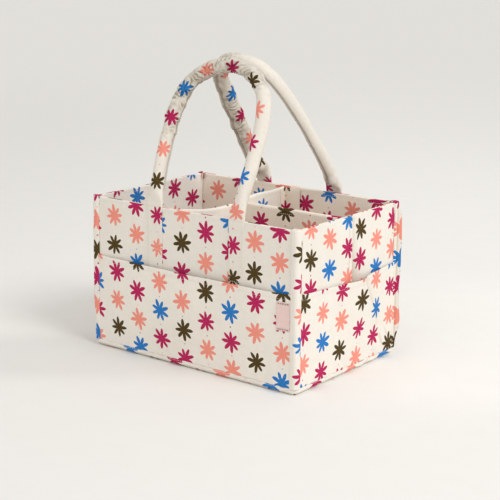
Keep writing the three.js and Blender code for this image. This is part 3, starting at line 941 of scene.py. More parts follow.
# %% [markdown]
# A pocket is a sheet held at its foot and sides. It stands off the wall more towards its mouth, where
# the hem is turned inwards and sewn seven millimetres down. Cloth that is caught in a seam can't stay
# smooth: small puckers fan out from the foot and the sides, and the end pocket, which gapes most near
# its middle, throws a ridge down from there.

# %% Pockets
pocket_low, pocket_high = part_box("front_pocket")
pocket_foot = pocket_low.z - 1 * mm
pocket_top = pocket_high.z
hem_depth = 7 * mm
hem_radius = 0.8 * mm
pocket_shift = (171 * mm, 93 * mm)
pocket_ground = 1.4 * mm
pocket_gapes = {"front": 6.5 * mm, "rear": 7 * mm, "left": 8 * mm, "right": 8 * mm}
end_dip = 4 * mm
end_gape_place = 10 * mm
end_gape_width = 30 * mm


def mouth_height(side, along):
    half, seed = walls[side][3:]
    dip = end_dip * (1 - (along / half) ** 2) if side in ("left", "right") else 0.0
    held = 1 - min(abs(along) / half, 1) ** 3
    return pocket_top - dip + 1.1 * mm * held * cloud(along, 0, seed + 80, 0.05)


def pocket_bow(side, along, up):
    """How far a pocket stands off its wall."""
    half, seed = walls[side][3:]
    share = min(abs(along) / half, 1)
    across = 1 - share ** 2.2
    rise = (up - pocket_foot) / (pocket_top - pocket_foot)
    if side == "right":
        across = 0.4 * across + 0.6 * bell(along, end_gape_place, end_gape_width)
    bow = pocket_gapes[side] * across * smooth(rise / 0.75)
    held = smooth((1 - share) * half / (12 * mm))
    waves = 0.9 * cloud(along, up * 0.5, seed + 81, 0.04) + 0.45 * cloud(along, up, seed + 82, 0.017)
    pucker_at = along / (2.9 * mm) + 2 * cloud(along, 0, seed, 0.03)
    foot_puckers = 0.5 * math.exp(-rise * 9) * math.sin(pucker_at)
    side_pull = 0.7 * math.exp(-(1 - share) * half / (22 * mm)) * cloud(up, along, seed + 83, 0.02)
    bow += (waves * smooth(rise * 5) + foot_puckers + side_pull) * mm * held
    if side == "right":
        bow += end_pocket_folds(along, up)[0]
    return max(bow, 0.0)


def end_pocket_folds(along, up):
    """The right-hand pocket's folds: (how far the cloth stands out, the painted shade of how deep in a fold
    the spot is).
    """
    drop = pocket_top - up
    fall = smooth((up - 42 * mm) / (40 * mm))
    gap = along - 15 * mm - 0.62 * drop
    crest = 4.2 * math.exp(-abs(gap) / (13 * mm)) * fall
    hollow = -2.2 * bell(along, -14 * mm - drop * 0.1, 12 * mm) * fall
    dents = -1.6 * bell(along, -52 * mm, 9 * mm) * bell(up, 96 * mm, 22 * mm)
    low = smooth((along - 52 * mm) / (22 * mm)) * bell(up, 24 * mm, 17 * mm)
    wave = abs(math.sin(math.pi * (0.75 * along + up) / (21 * mm) + 2.4 * cloud(along, up, 86, 0.03)))
    # Painted shade: darker just past the ridge's crest and in the hollows of the wrinkles near the far foot.
    shade = 0.42 * smooth(gap / (2.5 * mm)) * math.exp(-max(gap, 0) / (9 * mm)) * fall
    shade += 0.55 * (1 - wave) ** 3 * low
    return (crest + hollow + dents + 2.0 * (wave ** 0.7 - 0.7) * low) * mm, min(shade, 1.0)


def pocket_face(side, along, up):
    """A spot on a pocket's outer cloth."""
    hem_line = mouth_height(side, along) - hem_depth
    hem_swell = 0.45 * mm * smooth((up - hem_line + 1 * mm) / (2 * mm))
    outward = pocket_ground + pocket_bow(side, along, up) + wall_lean(side, along, up)
    return on_wall(side, along, outward + hem_swell + seam_pull(up - hem_line, 0.5 * mm, 1.3 * mm), up)


def build_pocket(side):
    _, facing, _, half, seed = walls[side]
    reach = half + 1.0 * mm

    def place(u, v):
        along = reach * (2 * u - 1)
        inward, up, travel = over_the_rim(v, pocket_foot, mouth_height(side, along), hem_radius)
        spot = pocket_face(side, along, up) - facing * inward
        fold = end_pocket_folds(along, up)[1] if side == "right" else 0.0
        return spot, print_place(seed, pocket_shift, along + 12 * mm, travel), fold

    columns = round(2 * reach / (2 * mm))
    piece = make_piece(lay(columns, 84, place), f"{side}_pocket_cloth", pocket_cloth,
                       [f"{side}_pocket"], thickness=0.9 * mm)


for side in walls:
    build_pocket(side)
print("pockets:", {side: round(gape / mm, 1) for side, gape in pocket_gapes.items()})

# %% [markdown]
# Each handle is one strip of cloth: flat where it is sewn to the wall and tucked under the pocket's
# mouth, then rolled round a core above the rim. The frame splits it at the hinge. Here both straps
# and the roll are one skin. Its middle line goes through a few given points, and its section changes
# from a flat oblong to a circle.

# %% The handles' middle lines
# shift moves a whole handle to the right, sway only its top, and lean moves its top inwards.
handle_sizes = {
    "front": {"side": -1, "span": 134 * mm, "shift": 8.4 * mm, "sway": 2.6 * mm, "rise": 181 * mm,
              "lean": 70 * mm},
    "rear": {"side": 1, "span": 120 * mm, "shift": 6 * mm, "sway": 0.4 * mm, "rise": 186 * mm},
}
# Half of each arch: (across, up), as shares of half its span and of its rise.
arch_shares = {
    "front": [(1, 0), (1.055, 0.2), (1.09, 0.45), (1.075, 0.64), (0.99, 0.785),
              (0.8, 0.89), (0.5, 0.963), (0.22, 0.992), (0, 1)],
    "rear": [(1, 0), (1.035, 0.13), (1.03, 0.27), (0.975, 0.45), (0.92, 0.61),
             (0.835, 0.755), (0.71, 0.88), (0.47, 0.965), (0.2, 0.994), (0, 1)],
}
lean_bend_share = 0.12
upright_share = 0.025
handle_radius = 9.2 * mm
cover_radius = 10 * mm
strap_low, strap_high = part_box("front_strap_left")
strap_foot = strap_low.z
foot_out = (strap_low.y + strap_high.y) / -2 - wall_y
front = handle_sizes["front"]
rear = handle_sizes["rear"]
front_apex_y = -(wall_y + foot_out) + front["lean"]
resting = math.sqrt((2 * cover_radius + 0.6 * mm) ** 2 - (rear["rise"] - front["rise"]) ** 2)
rear["lean"] = wall_y + foot_out - front_apex_y - resting


def through(points, steps):
    """A smooth curve through points: centripetal Catmull-Rom, as evenly spaced samples."""
    ends = [points[0] * 2 - points[1], *points, points[-1] * 2 - points[-2]]
    fine = []
    for p0, p1, p2, p3 in zip(ends, ends[1:], ends[2:], ends[3:]):
        t0, knots = 0.0, [0.0]
        for a, b in ((p0, p1), (p1, p2), (p2, p3)):
            t0 += max((b - a).length, 1e-9) ** 0.5
            knots.append(t0)
        k0, k1, k2, k3 = knots
        for i in range(24):
            t = k1 + (k2 - k1) * i / 24
            a1 = p0.lerp(p1, (t - k0) / (k1 - k0))
            a2 = p1.lerp(p2, (t - k1) / (k2 - k1))
            a3 = p2.lerp(p3, (t - k2) / (k3 - k2))
            b1 = a1.lerp(a2, (t - k0) / (k2 - k0))
            b2 = a2.lerp(a3, (t - k1) / (k3 - k1))
            fine.append(b1.lerp(b2, (t - k1) / (k2 - k1)))
    fine.append(points[-1])
    lengths = lengths_along(fine)
    return [find_along(fine, lengths, lengths[-1] * i / steps)[0] for i in range(steps + 1)], lengths[-1]


def handle_line(name):
    """The whole strip's middle line, from one strap's lower end over the arch to the other's."""
    size = handle_sizes[name]
    half = arch_shares[name]
    outline = [(-across, up) for across, up in half] + list(reversed(half[:-1]))
    arch = []
    for across, up in outline:
        slope = max(0, up - upright_share) / (1 - upright_share)
        inward = size["lean"] * ((1 - lean_bend_share) * slope + lean_bend_share * slope ** 2)
        x = size["shift"] + size["sway"] * up + across * size["span"] / 2
        arch.append(Vector((x, size["side"] * (wall_y + foot_out - inward), rim + up * size["rise"])))
    straps = [[Vector((end.x, end.y, strap_foot + (rim - strap_foot) * i / 6)) for i in range(6)]
              for end in (arch[0], arch[-1])]
    return through(straps[0] + arch + straps[1][::-1], 420)


handle_lines = {name: handle_line(name) for name in handle_sizes}
print("handles:", {name: round(length, 3) for name, (_, length) in handle_lines.items()}, "m of strip each")

# %% [markdown]
# The skin is laid round each middle line. Its section eases from the flat strap into the tube, so the
# pressed foot and the roll are one cloth. Where the cloth is slack, over the arch, gathers stand across
# it and their deeper parts get painted shade. The cloth's free edge laps over the other along the inside,
# with painted shade beneath it.

# %% Handle cloth
foot_length = 34 * mm
gather_pitch = 7.5 * mm
gather_depth = 2.5 * mm
overlap_height = 2.2 * mm
knuckle_turn = math.radians(142)
strap_half = 12 * mm
foot_half = 12.5 * mm
strap_half_thick = 0.7 * mm
foot_half_thick = 1.5 * mm
strap_sink = 0.75 * mm
handle_sides = 64
handle_rings = 620
section_steps = 240
# Where the gathers start and end, and each change of girth (place, width, amount), by share of the strip.
gathered = {"front": (0.29, 0.60), "rear": (0.25, 0.50)}
girth_changes = {
    "front": ((0.25, 0.09, -0.09), (0.84, 0.06, -0.12)),
    "rear": ((0.3, 0.1, 0.09), (0.7, 0.14, -0.11)),
}
seam_turn = {"front": math.radians(45), "rear": math.radians(-14)}
print_turn = {"front": math.radians(62), "rear": math.radians(178)}
print_run = {"front": 113 * mm, "rear": 361 * mm}


def handle_frame(name, share):
    """At a share of a handle's strip: its middle point, outward and sideways directions, and travel."""
    line, length = handle_lines[name]
    size = handle_sizes[name]
    place = share * (len(line) - 1)
    index = min(int(place), len(line) - 2)
    point = line[index].lerp(line[index + 1], place - index)
    low, high = max(index - 2, 0), min(index + 3, len(line) - 1)
    tangent = (line[high] - line[low]).normalized()
    facing = Vector((0, size["side"] * size["rise"], size["lean"]))
    facing = (facing - tangent * facing.dot(tangent)).normalized()
    return point, facing, tangent.cross(facing), share * length


def girth(name, share):
    return 1 + sum(amount * bell(share, place, width) for place, width, amount in girth_changes[name])


def section(name, travel):
    """A handle's section as even steps round it, starting at its back: (sideways, outward, roll, lap)."""
    from_rim = min(travel, handle_lines[name][1] - travel) - (rim - strap_foot)
    radius = handle_radius * girth(name, travel / handle_lines[name][1])
    roll = smooth(from_rim / foot_length)
    sewn = smooth(from_rim / (3 * mm) + 0.5)
    half_width = strap_half + (foot_half - strap_half) * sewn + (radius - foot_half) * roll
    half_thick = strap_half_thick + (foot_half_thick - strap_half_thick) * sewn
    half_thick += (radius - foot_half_thick) * roll
    power = 2 / (6 - 4 * smooth(roll * 1.6))
    start = -math.pi / 2 - seam_turn[name] * handle_sizes[name]["side"] * roll
    outline = []
    for i in range(section_steps + 1):
        angle = 2 * math.pi * i / section_steps + start
        cosine, sine = math.cos(angle), math.sin(angle)
        outline.append(Vector((half_width * math.copysign(abs(cosine) ** power, cosine),
                               half_thick * math.copysign(abs(sine) ** power, sine))))
    lengths = lengths_along(outline)
    spots = [find_along(outline, lengths, lengths[-1] * i / handle_sides)[0] for i in range(handle_sides)]
    return spots + [spots[0]], roll, lengths[-1], start


def tube_cloud(travel, angle, seed, size, stretch):
    """Smooth noise on a tube, without a jump where the angle comes round. stretch draws it out sideways."""
    reach = handle_radius / size / stretch
    across, deep = math.cos(angle) * reach, math.sin(angle) * reach
    return noise.noise(Vector((travel / size + seed * 5.7, across, deep + seed)))


def gathering(name, share, travel, angle):
    """The gathers across a handle: (how far the cloth stands out, the painted shade of how deep in a fold the
    spot is).
    """
    start, end = gathered[name]
    seed = 90 + handle_sizes[name]["side"]
    amount = 0.1 + 0.9 * smooth((share - start) / 0.07 + 0.5) * smooth((end - share) / 0.07 + 0.5)
    drift = 2.4 * tube_cloud(travel, angle, seed, 26 * mm, 0.8)
    drift += 0.5 * tube_cloud(travel, angle, seed + 1, 9 * mm, 0.7)
    crest = abs(math.sin(math.pi * (travel / gather_pitch + drift)))
    strength = smooth(0.45 + 2.2 * tube_cloud(travel, angle, seed + 2, 12 * mm, 0.7))
    fine = 0.25 - abs(tube_cloud(travel, angle, seed + 4, 6 * mm, 1.1))
    broad = tube_cloud(travel, angle, seed + 3, 13 * mm, 0.8)
    stand = (crest ** 0.7 - 0.75) * gather_depth * strength + 1.2 * mm * fine + 2.2 * mm * broad
    # Painted shade in the gathers' hollows, the fine creases and the broad dents.
    shade = 0.3 + 0.8 * (1 - crest) ** 1.5 * strength + 0.9 * max(-fine, 0.0) + 0.5 * max(-broad, 0.0)
    return stand * amount, min(shade, 1.0) * amount


def rolled(name, share, step, ring):
    """A handle's skin, flat on the wall, round above it, gathered over the arch: (the spot, the painted shade
    of its fold).
    """
    point, facing, sideways, travel = handle_frame(name, share)
    spots, roll, _, start = ring
    side = handle_sizes[name]["side"]
    wide, deep = spots[step]
    passed = 2 * math.pi * step / handle_sides
    angle = start + passed
    stand, shade = gathering(name, share, travel, angle)
    lump = 0.8 * mm * tube_cloud(travel, angle, 96 + side, 34 * mm, 1.0)
    from_seam = passed if side > 0 else 2 * math.pi - passed
    overlap = overlap_height * smooth(from_seam / 0.1) * smooth(1 - from_seam / 1.5)
    from_rim = min(travel, handle_lines[name][1] - travel) - (rim - strap_foot)
    opened = 0.3 * smooth(1 - from_rim / (50 * mm)) if side > 0 and share > 0.5 else 0.0
    past_seam = from_seam - (2 * math.pi if from_seam > math.pi else 0)
    # Painted shade beneath the overlapping edge, widened near the rear handle's foot where the seam opens.
    under = bell(past_seam, -0.12 - opened, 0.13 + opened)
    swell = roll * (stand + lump + overlap)
    if name == "rear":
        crumple = bell(from_rim, 20 * mm, 13 * mm) * tube_cloud(travel, angle, 71, 13 * mm, 1.2)
        knuckle = bell(from_rim, 22 * mm, 11 * mm) * max(0.0, math.cos(angle - knuckle_turn))
        swell += 4.5 * mm * crumple + (6 * mm * knuckle if share < 0.5 else 0.0)
        # Painted shade in the crumples' hollows near the rear handle's foot.
        shade += max(-crumple, 0.0) * 1.4
    on_strap = 1 - smooth(roll * 4)
    wall = "front" if side < 0 else "rear"
    along = wide * on_strap - side * point.x
    lean = wall_lean(wall, along, min(point.z, rim))
    lean += wall_wave(wall, along, min(point.z, rim - 6 * mm)) * on_strap
    flat = point + sideways * wide + facing * deep + ALONG_Y * (side * (lean - strap_sink) * on_strap)
    radial = sideways * math.cos(angle) + facing * math.sin(angle)
    return flat + radial * swell, min(roll * (shade + 1.1 * under), 1.0)


def build_handle(name):
    length = handle_lines[name][1]
    rings = [section(name, length * i / handle_rings) for i in range(handle_rings + 1)]

    def place(u, v):
        ring = rings[round(v * handle_rings)]
        step = round(u * handle_sides)
        spot, fold = rolled(name, v, step, ring)
        column_at = ((print_turn[name] - ring[3]) / (2 * math.pi)) % 1.0
        flat = ((u - column_at) * ring[2] + 2.5 * handle_columns, v * length + print_run[name])
        return spot, flat, fold

    mesh = close_up(lay(handle_sides, handle_rings, place))
    nodes = [f"{name}_handle_cover", f"{name}_handle_core", f"{name}_strap_left", f"{name}_strap_right"]
    piece = make_piece(mesh, f"{name}_handle_roll", handle_cloth, nodes, body=None)
    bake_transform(piece)


for name in handle_sizes:
    build_handle(name)
print("handle rolls:", list(handle_sizes))

# %% [markdown]
# The divider is a T: a cross leaf, the spine, and a long leaf, the wing. Each is a board in a cloth
# sleeve whose top edge is turned and sewn and hangs a little between its ends. The sleeve is a ring
# of cloth swept along the leaf: up one face, over the top, down the other. Sewn flaps carry the tape.

# %% Divider sleeves
spine_low, spine_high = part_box("spine_cover")
wing_low, wing_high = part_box("wing_cover")
leaf_half = 2.5 * mm
spine_x = spine_low.x + leaf_half
wing_y = wing_high.y - leaf_half
spine_heights = ((-1.0, 208), (-0.86, 206), (-0.62, 202.8), (-0.4, 201.6), (-0.2, 201.2), (-0.03, 201.6),
                 (0.13, 204.2), (0.28, 206.8), (0.45, 207.2), (0.65, 206.2), (0.82, 206.4), (1.0, 208))
spine_bend = 9 * mm
leaf_shifts = {"spine": (260 * mm, 600 * mm), "wing": (650 * mm, 100 * mm)}
wing_sag = 1 * mm
spine_half = spine_high.y
wing_start = wing_low.x
wing_end = wing_high.x
leaf_stitch_drop = 6.5 * mm
top_easing = 4 * mm


def leaf_ring(u, low, top):
    """Round a leaf's section: (across, height, cloth used) at u from 0 to 1, starting under one face."""
    face = top - leaf_half - low
    arc = math.pi * leaf_half
    foot = 2 * leaf_half
    run = u * (2 * face + arc + foot)
    if run < face:
        return 1.0, low + run, run
    if run < face + arc:
        turn = (run - face) / leaf_half
        return math.cos(turn), top - leaf_half + leaf_half * math.sin(turn), run
    if run < 2 * face + arc:
        return -1.0, top - leaf_half - (run - face - arc), run
    return -1 + 2 * (run - 2 * face - arc) / foot, low, run


def spine_top(run):
    """The spine's top edge: straight from each measured height to the next."""
    share = run / spine_half
    for (a, low), (b, high) in zip(spine_heights, spine_heights[1:]):
        if share <= b:
            return (low + (high - low) * (share - a) / (b - a)) * mm
    return spine_heights[-1][1] * mm


def eased_spine_top(run):
    """The same edge averaged over a few millimetres, so that it has no corners."""
    near = [max(-spine_half, min(spine_half, run + k * top_easing)) for k in range(-3, 4)]
    return sum(spine_top(place) for place in near) / len(near)


def spine_shift(run):
    """The front end is drawn aside by its flap."""
    return -spine_bend * smooth((-run - spine_half + 40 * mm) / (44 * mm))


def leaf_spot(kind, u, v):
    """A spot on a sleeve. v runs along the leaf."""
    if kind == "spine":
        run = spine_half * (2 * v - 1)
        top = eased_spine_top(run)
        seed = 101
        end_gap = spine_half - abs(run)
    else:
        run = wing_start + (wing_end - wing_start) * v
        bow = 1 - (2 * v - 1) ** 2
        top = wing_high.z - wing_sag * bow
        seed = 102
        end_gap = min(run - wing_start, wing_end - run)
    top += 0.7 * mm * cloud(run, 0, seed, 0.05) * smooth(end_gap / (20 * mm))
    across, height, travel = leaf_ring(u, spine_low.z, top)
    stand = smooth((height - spine_low.z) / (20 * mm)) * smooth(end_gap / (6 * mm))
    ripple = 0.35 * mm * cloud(run, height, seed + 3 + across, 0.04) * stand
    pull = seam_pull(top - leaf_stitch_drop - height, 0.5 * mm, 1.4 * mm)
    end_share = min(end_gap / leaf_half, 1)
    end_round = math.sqrt(end_share * (2 - end_share))
    offset = across * (leaf_half * max(end_round, 0.05) + ripple + pull)
    flat = print_place(1, leaf_shifts[kind], run, travel)
    if kind == "spine":
        return Vector((spine_x + spine_shift(run) + offset, run, height)), flat
    return Vector((run, wing_y - offset, height)), flat


def build_leaf(kind, body, material):
    mesh = close_up(lay(150, 90, lambda u, v: leaf_spot(kind, u, v)))
    piece = make_piece(mesh, f"{kind}_sleeve", material, [f"{kind}_cover"], body=body)


build_leaf("spine", "divider_insert", spine_cloth)
build_leaf("wing", "divider_wing", lining_cloth)
print("divider leaves: spine and wing")

# %% [markdown]
# On the real caddy the spine's board is thin enough to follow its sleeve where the front flap draws it
# aside. So the CAD's own board is taken, cut into narrow strips across its front end and drawn aside
# by the same rule as the sleeve; a straight board would stand out of the bent cloth.

# %% The spine's board, bent with its sleeve
def build_spine_board():
    node = frame["nodes"]["spine_board"]
    mesh = bmesh.new()
    mesh.from_mesh(node.data)
    mesh.transform(node.matrix_world)
    for step in range(1, 15):
        bmesh.ops.bisect_plane(mesh, geom=[*mesh.verts, *mesh.edges, *mesh.faces], dist=1e-6,
                               plane_co=(0, -spine_half + step * 3 * mm, 0), plane_no=(0, 1, 0))
    for corner in mesh.verts:
        corner.co.x += spine_shift(corner.co.y)
    bmesh.ops.recalc_face_normals(mesh, faces=mesh.faces)
    return make_piece(mesh, "bent_spine_board", board_plastic, ["spine_board"],
                      body="divider_insert")


board_faces = len(build_spine_board().data.polygons)
print("spine board:", board_faces, "faces")

# %% [markdown]
# A flap is one folded strip: down the leaf's face, round a small turn and along the wall. It has its own
# path, seen from above, so that the same rule serves all three and only their corners and directions
# differ. The front one draws the soft end of the spine aside and fades out towards its own free edge.

# %% Divider flaps
flap_reach = 25 * mm
flap_start = 12 * mm
flap_turn = 2 * mm
flap_margin = 9 * mm
flap_drop = 1.5 * mm
flap_shift = 310 * mm


def flap_path(run):
    """A flap seen from above: down the leaf's face, then a small turn, then along the wall."""
    turn = (flap_turn * math.pi / 2, -math.pi / 2)
    return trace(run, ((flap_start - flap_turn, 0), turn, (flap_reach, 0)), math.pi / 2)[:2]


flap_low = spine_low.z + flap_margin
flap_high = spine_high.z - flap_drop
spine_face = spine_x + leaf_half
flap_length = flap_start - 2 * flap_turn + flap_turn * math.pi / 2 + flap_reach
flaps = {
    "front_flap": (Vector((spine_face, -spine_half, 0)), ALONG_X, -ALONG_Y, "divider_insert"),
    "rear_flap": (Vector((spine_face, spine_half, 0)), ALONG_X, ALONG_Y, "divider_insert"),
    "wing_flap": (Vector((wing_end, wing_y - leaf_half, 0)), -ALONG_Y, ALONG_X, "divider_wing"),
}


def flap_spot(name, u, v):
    """A spot on a flap: u runs from the leaf to the flap's free edge and v runs up."""
    corner, away, towards, _ = flaps[name]
    run = u * flap_length
    across, down = flap_path(run)
    up = mix(flap_low, flap_high, v)
    edge = min(run, flap_length - run, up - flap_low, flap_high - up)
    puff = 0.4 * mm * cloud(run, up, len(name), 0.03) * smooth(edge / (8 * mm))
    lie = smooth((down - flap_start + flap_turn) / flap_turn)
    spot = corner + away * (across + (0.9 * mm + puff) * (1 - lie))
    spot += towards * (down - flap_start - puff * lie) + UP * up
    if name == "front_flap":
        spot.x += spine_shift(spot.y) * min(1, 1.4 * (1 - u))
    return spot


def build_flap(name):
    shift = flap_shift * len(name)

    def place(u, v):
        return flap_spot(name, u, v), (u * flap_length + shift, v * (flap_high - flap_low))

    piece = make_piece(lay(30, 60, place), name, lining_cloth, body=flaps[name][3],
                       thickness=1.0 * mm, rounded=1)
    width_of(place, 0.5)
    flap_high - flap_low


for name in flaps:
    build_flap(name)
print("flaps:", list(flaps))

# %% [markdown]
# Hook-and-loop tape is a woven strip with a pile. A plain slab reads as card, so each strip is laid
# as a fine grid whose face is broken up by noise, and its thickness comes from Solidify.

# %% Tapes
def build_tape(node, body):
    low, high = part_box(node)
    flat_on_x = high.x - low.x < high.y - low.y
    width = high.y - low.y if flat_on_x else high.x - low.x
    pile = 0.12 * mm

    def place(u, v):
        rough = pile * noise.noise(Vector((u * 40, v * 300, len(node))))
        z = low.z + (high.z - low.z) * v
        if flat_on_x:
            return Vector((low.x + pile - rough, high.y - width * u, z)), (u * width, z)
        face = low.y if low.y > 0 else high.y
        facing = -1 if low.y > 0 else 1
        x = low.x + width * (u if facing < 0 else 1 - u)
        return Vector((x, face + facing * (rough - pile), z)), (u * width, z)

    piece = make_piece(lay(10, 80, place), f"{node}_strip", tape_cloth, [node], body=body,
                       thickness=0.8 * mm)


bodies = frame["record"]["behaviour"]["bodies"]
node_bodies = {node: body for body, nodes in bodies.items() for node in nodes}
tapes = [node for node in frame["nodes"] if node.endswith("_tape")]
for node in tapes:
    build_tape(node, node_bodies[node])
print("tapes:", len(tapes))

# %% [markdown]
# A small woven ribbon is caught in the corner seam on the front pocket. Ribbon is stiff along its
# selvedges, so it stands a little proud in the middle and its loose edge turns up by a hair.

# %% Side tab
tab_low, tab_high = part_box("side_tab")


def build_tab():
    width = tab_high.x - tab_low.x
    height = tab_high.z - tab_low.z

    def place(u, v):
        x = tab_low.x + width * u
        z = tab_low.z + height * v
        lift = 0.5 * mm + 0.5 * mm * (1 - u) ** 3 + 0.3 * mm * math.sin(v * math.pi)
        spot = pocket_face("front", x, z) + Vector((0, -lift, 0))
        return spot, (u * width, v * height)

    piece = make_piece(lay(12, 24, place), "side_tab_ribbon", ribbon_cloth, ["side_tab"],
                       thickness=0.6 * mm, rounded=1)


build_tab()
print("tab:", round((tab_high.x - tab_low.x) / mm), "x", round((tab_high.z - tab_low.z) / mm), "mm")

# %% [markdown]
# Stitches are what makes sewing look sewn. Each is a small rounded bar of a few dozen faces, set by a
# loop along a line on the cloth and sunk by a third. They could be drawn in a bump map, but real bars
# catch light from every side and stay crisp in a close view.

# %% Stitches
stitch_length = 2.5 * mm
stitch_pitch = 3.3 * mm
thread_radius = 0.24 * mm
thread_rise = 0.35


def sew(rows, line, facing, samples=160):
    """Adds a row of stitches along line(t), t from 0 to 1, on the side that facing, or facing(t), shows."""
    mesh = bmesh.new()
    points = [line(i / samples) for i in range(samples + 1)]
    lengths = lengths_along(points)
    count = int(lengths[-1] / stitch_pitch)
    shape = Matrix.Diagonal((stitch_length / 2, thread_radius, thread_radius, 1))
    shape = shape @ Matrix.Rotation(math.pi / 2, 4, "Y")
    for number in range(count):
        spot, index, part = find_along(points, lengths, (number + 0.5) * lengths[-1] / count)
        run = (points[index + 1] - points[index]).normalized()
        normal = facing((index + part) / samples) if callable(facing) else facing
        normal = (normal - run * normal.dot(run)).normalized()
        turn = Matrix((run, normal.cross(run), normal)).transposed().to_4x4()
        place = Matrix.Translation(spot + normal * thread_radius * thread_rise) @ turn @ shape
        bmesh.ops.create_uvsphere(mesh, u_segments=6, v_segments=5, radius=1, matrix=place)
    row = bpy.data.meshes.new("row")
    mesh.to_mesh(row)
    mesh.free()
    rows.append(row)
    return count


def finish_stitches(rows, name, body, material=thread_cotton):
    mesh = bmesh.new()
    for row in rows:
        mesh.from_mesh(row)
        bpy.data.meshes.remove(row)
    flat = mesh.loops.layers.uv.new("cloth")
    for face in mesh.faces:
        face.smooth = True
        for loop in face.loops:
            loop[flat].uv = (loop.vert.co.x + loop.vert.co.y, loop.vert.co.z)
    make_piece(mesh, name, material, body=body)


def wall_row(side, half, face, edge_height, drop):
    """A line along a wall, on one of its faces and a set drop under that face's upper edge."""
    def line(t):
        along = half * (2 * t - 1)
        return face(side, along, edge_height(side, along) - drop)
    return line


wall_rows = []
count = 0
for side, (_, facing, _, half, _) in walls.items():
    count += sew(wall_rows, wall_row(side, half, outer_face, rim_height, stitch_drop), facing)
    count += sew(wall_rows, wall_row(side, inner_half(side), lining_face, rim_height, stitch_drop), -facing)
    count += sew(wall_rows, wall_row(side, half, pocket_face, mouth_height, hem_depth), facing)
row_low, row_high = base_rise + 2 * mm, rim - 4 * mm
for name, (sign_x, sign_y, _, _) in corners.items():
    for w, normal in ((0.78, ALONG_X * sign_x), (-0.78, ALONG_Y * sign_y)):
        count += sew(wall_rows, lambda t: binding_spot(name, w, mix(row_low, row_high, t), 0.0), normal)
base_row = (base_margin - base_roll + base_roll * math.pi / 2 + 0.3 * mm) / base_section(1)[2]
count += sew(wall_rows, lambda t: base_spot(t, base_row)[0],
             lambda t: round_rectangle(t, base_high.x, base_high.y, base_corner)[1], 900)
finish_stitches(wall_rows, "wall_stitches", "root")
print("stitches on the walls:", count)

# %% [markdown]
# The straps are sewn down along both edges, with a box at the foot that takes the pull. The divider
# has a row under each top edge and one round each flap, and every handle has a row along its overlap.
# Rows that move are joined per body, so that they turn and lift with the cloth they hold.

# %% Stitches on straps, divider and handles
strap_inset = 2.0 * mm
strap_rows_low = 130 * mm
strap_rows_high = rim - 2 * mm
strap_box_high = 152 * mm


def strap_spot(name, end, across, up):
    """A spot on a strap's face: end is -1 or 1, across runs from -1 to 1."""
    size = handle_sizes[name]
    x = size["shift"] + end * size["span"] / 2 + across * (strap_half - strap_inset)
    wall = "front" if size["side"] < 0 else "rear"
    along = x if wall == "front" else -x
    out = foot_out + strap_half_thick - strap_sink + wall_lean(wall, along, up)
    return on_wall(wall, along, out + wall_wave(wall, along, min(up, rim - 6 * mm)), up)


strap_rows = []
for name, size in handle_sizes.items():
    facing = ALONG_Y * size["side"]
    for end in (-1, 1):
        for across in (-1, 1):
            line = lambda t: strap_spot(name, end, across, mix(strap_rows_low, strap_rows_high, t))
            sew(strap_rows, line, facing)
        for up in (strap_rows_low, strap_box_high):
            sew(strap_rows, lambda t: strap_spot(name, end, 2 * t - 1, up), facing)
finish_stitches(strap_rows, "strap_stitches", "root")


def leaf_row(kind, face):
    """A row under a leaf's top edge, on the face at +1 or -1 across."""
    def line(t):
        v = 0.03 + 0.94 * t
        top = max((leaf_spot(kind, u / 90, v)[0] for u in range(30, 60)), key=lambda spot: spot.z)
        flank = leaf_spot(kind, 0.3 if face > 0 else 0.6, v)[0]
        return Vector((flank.x, flank.y, top.z - leaf_stitch_drop))
    return line


flap_inset = 2.5 * mm
overlap_step = 3
side_u = 1 - flap_inset / flap_length
top_v = 1 - flap_inset / (flap_high - flap_low)
start_u = flap_start / flap_length
for kind, body, normal in (("spine", "divider_insert", ALONG_X), ("wing", "divider_wing", -ALONG_Y)):
    rows = []
    for face in (1, -1):
        sew(rows, leaf_row(kind, face), normal * face)
    for name, (_, _, towards, flap_body) in flaps.items():
        if flap_body == body:
            sew(rows, lambda t: flap_spot(name, side_u, mix(1 - top_v, top_v, t)), -towards)
            for v in (1 - top_v, top_v):
                sew(rows, lambda t: flap_spot(name, mix(start_u, side_u, t), v), -towards)
    finish_stitches(rows, f"{kind}_stitches", body)


def overlap_row(name):
    """A row along a handle's overlap, a little in from the folded edge."""
    length = handle_lines[name][1]
    first = (rim - strap_foot + foot_length) / length
    step = overlap_step if name == "rear" else handle_sides - overlap_step

    def line(t):
        share = first + (1 - 2 * first) * t
        return rolled(name, share, step, section(name, share * length))[0]

    def facing(t):
        share = first + (1 - 2 * first) * t
        return (line(t) - handle_frame(name, share)[0]).normalized()
    return line, facing


for name in handle_sizes:
    rows = []
    sew(rows, *overlap_row(name), 420)
    finish_stitches(rows, f"{name}_handle_stitches", f"{name}_handle")
tab_rows = []
tab_inset = 0.06
off_tab = ALONG_Y * -0.9 * mm
for share in (tab_inset, 1 - tab_inset):
    for offset in (-0.5 * mm, 0.5 * mm):
        z = mix(tab_low.z, tab_high.z, share) + offset
        x_low, x_high = [mix(tab_low.x, tab_high.x, end) for end in (tab_inset, 1 - tab_inset)]
        sew(tab_rows, lambda t: pocket_face("front", mix(x_low, x_high, t), z) + off_tab, -ALONG_Y)
finish_stitches(tab_rows, "tab_stitches", "root", dark_thread)
print("rows sewn on four straps,", len(flaps), "flaps and", len(handle_sizes), "handles")

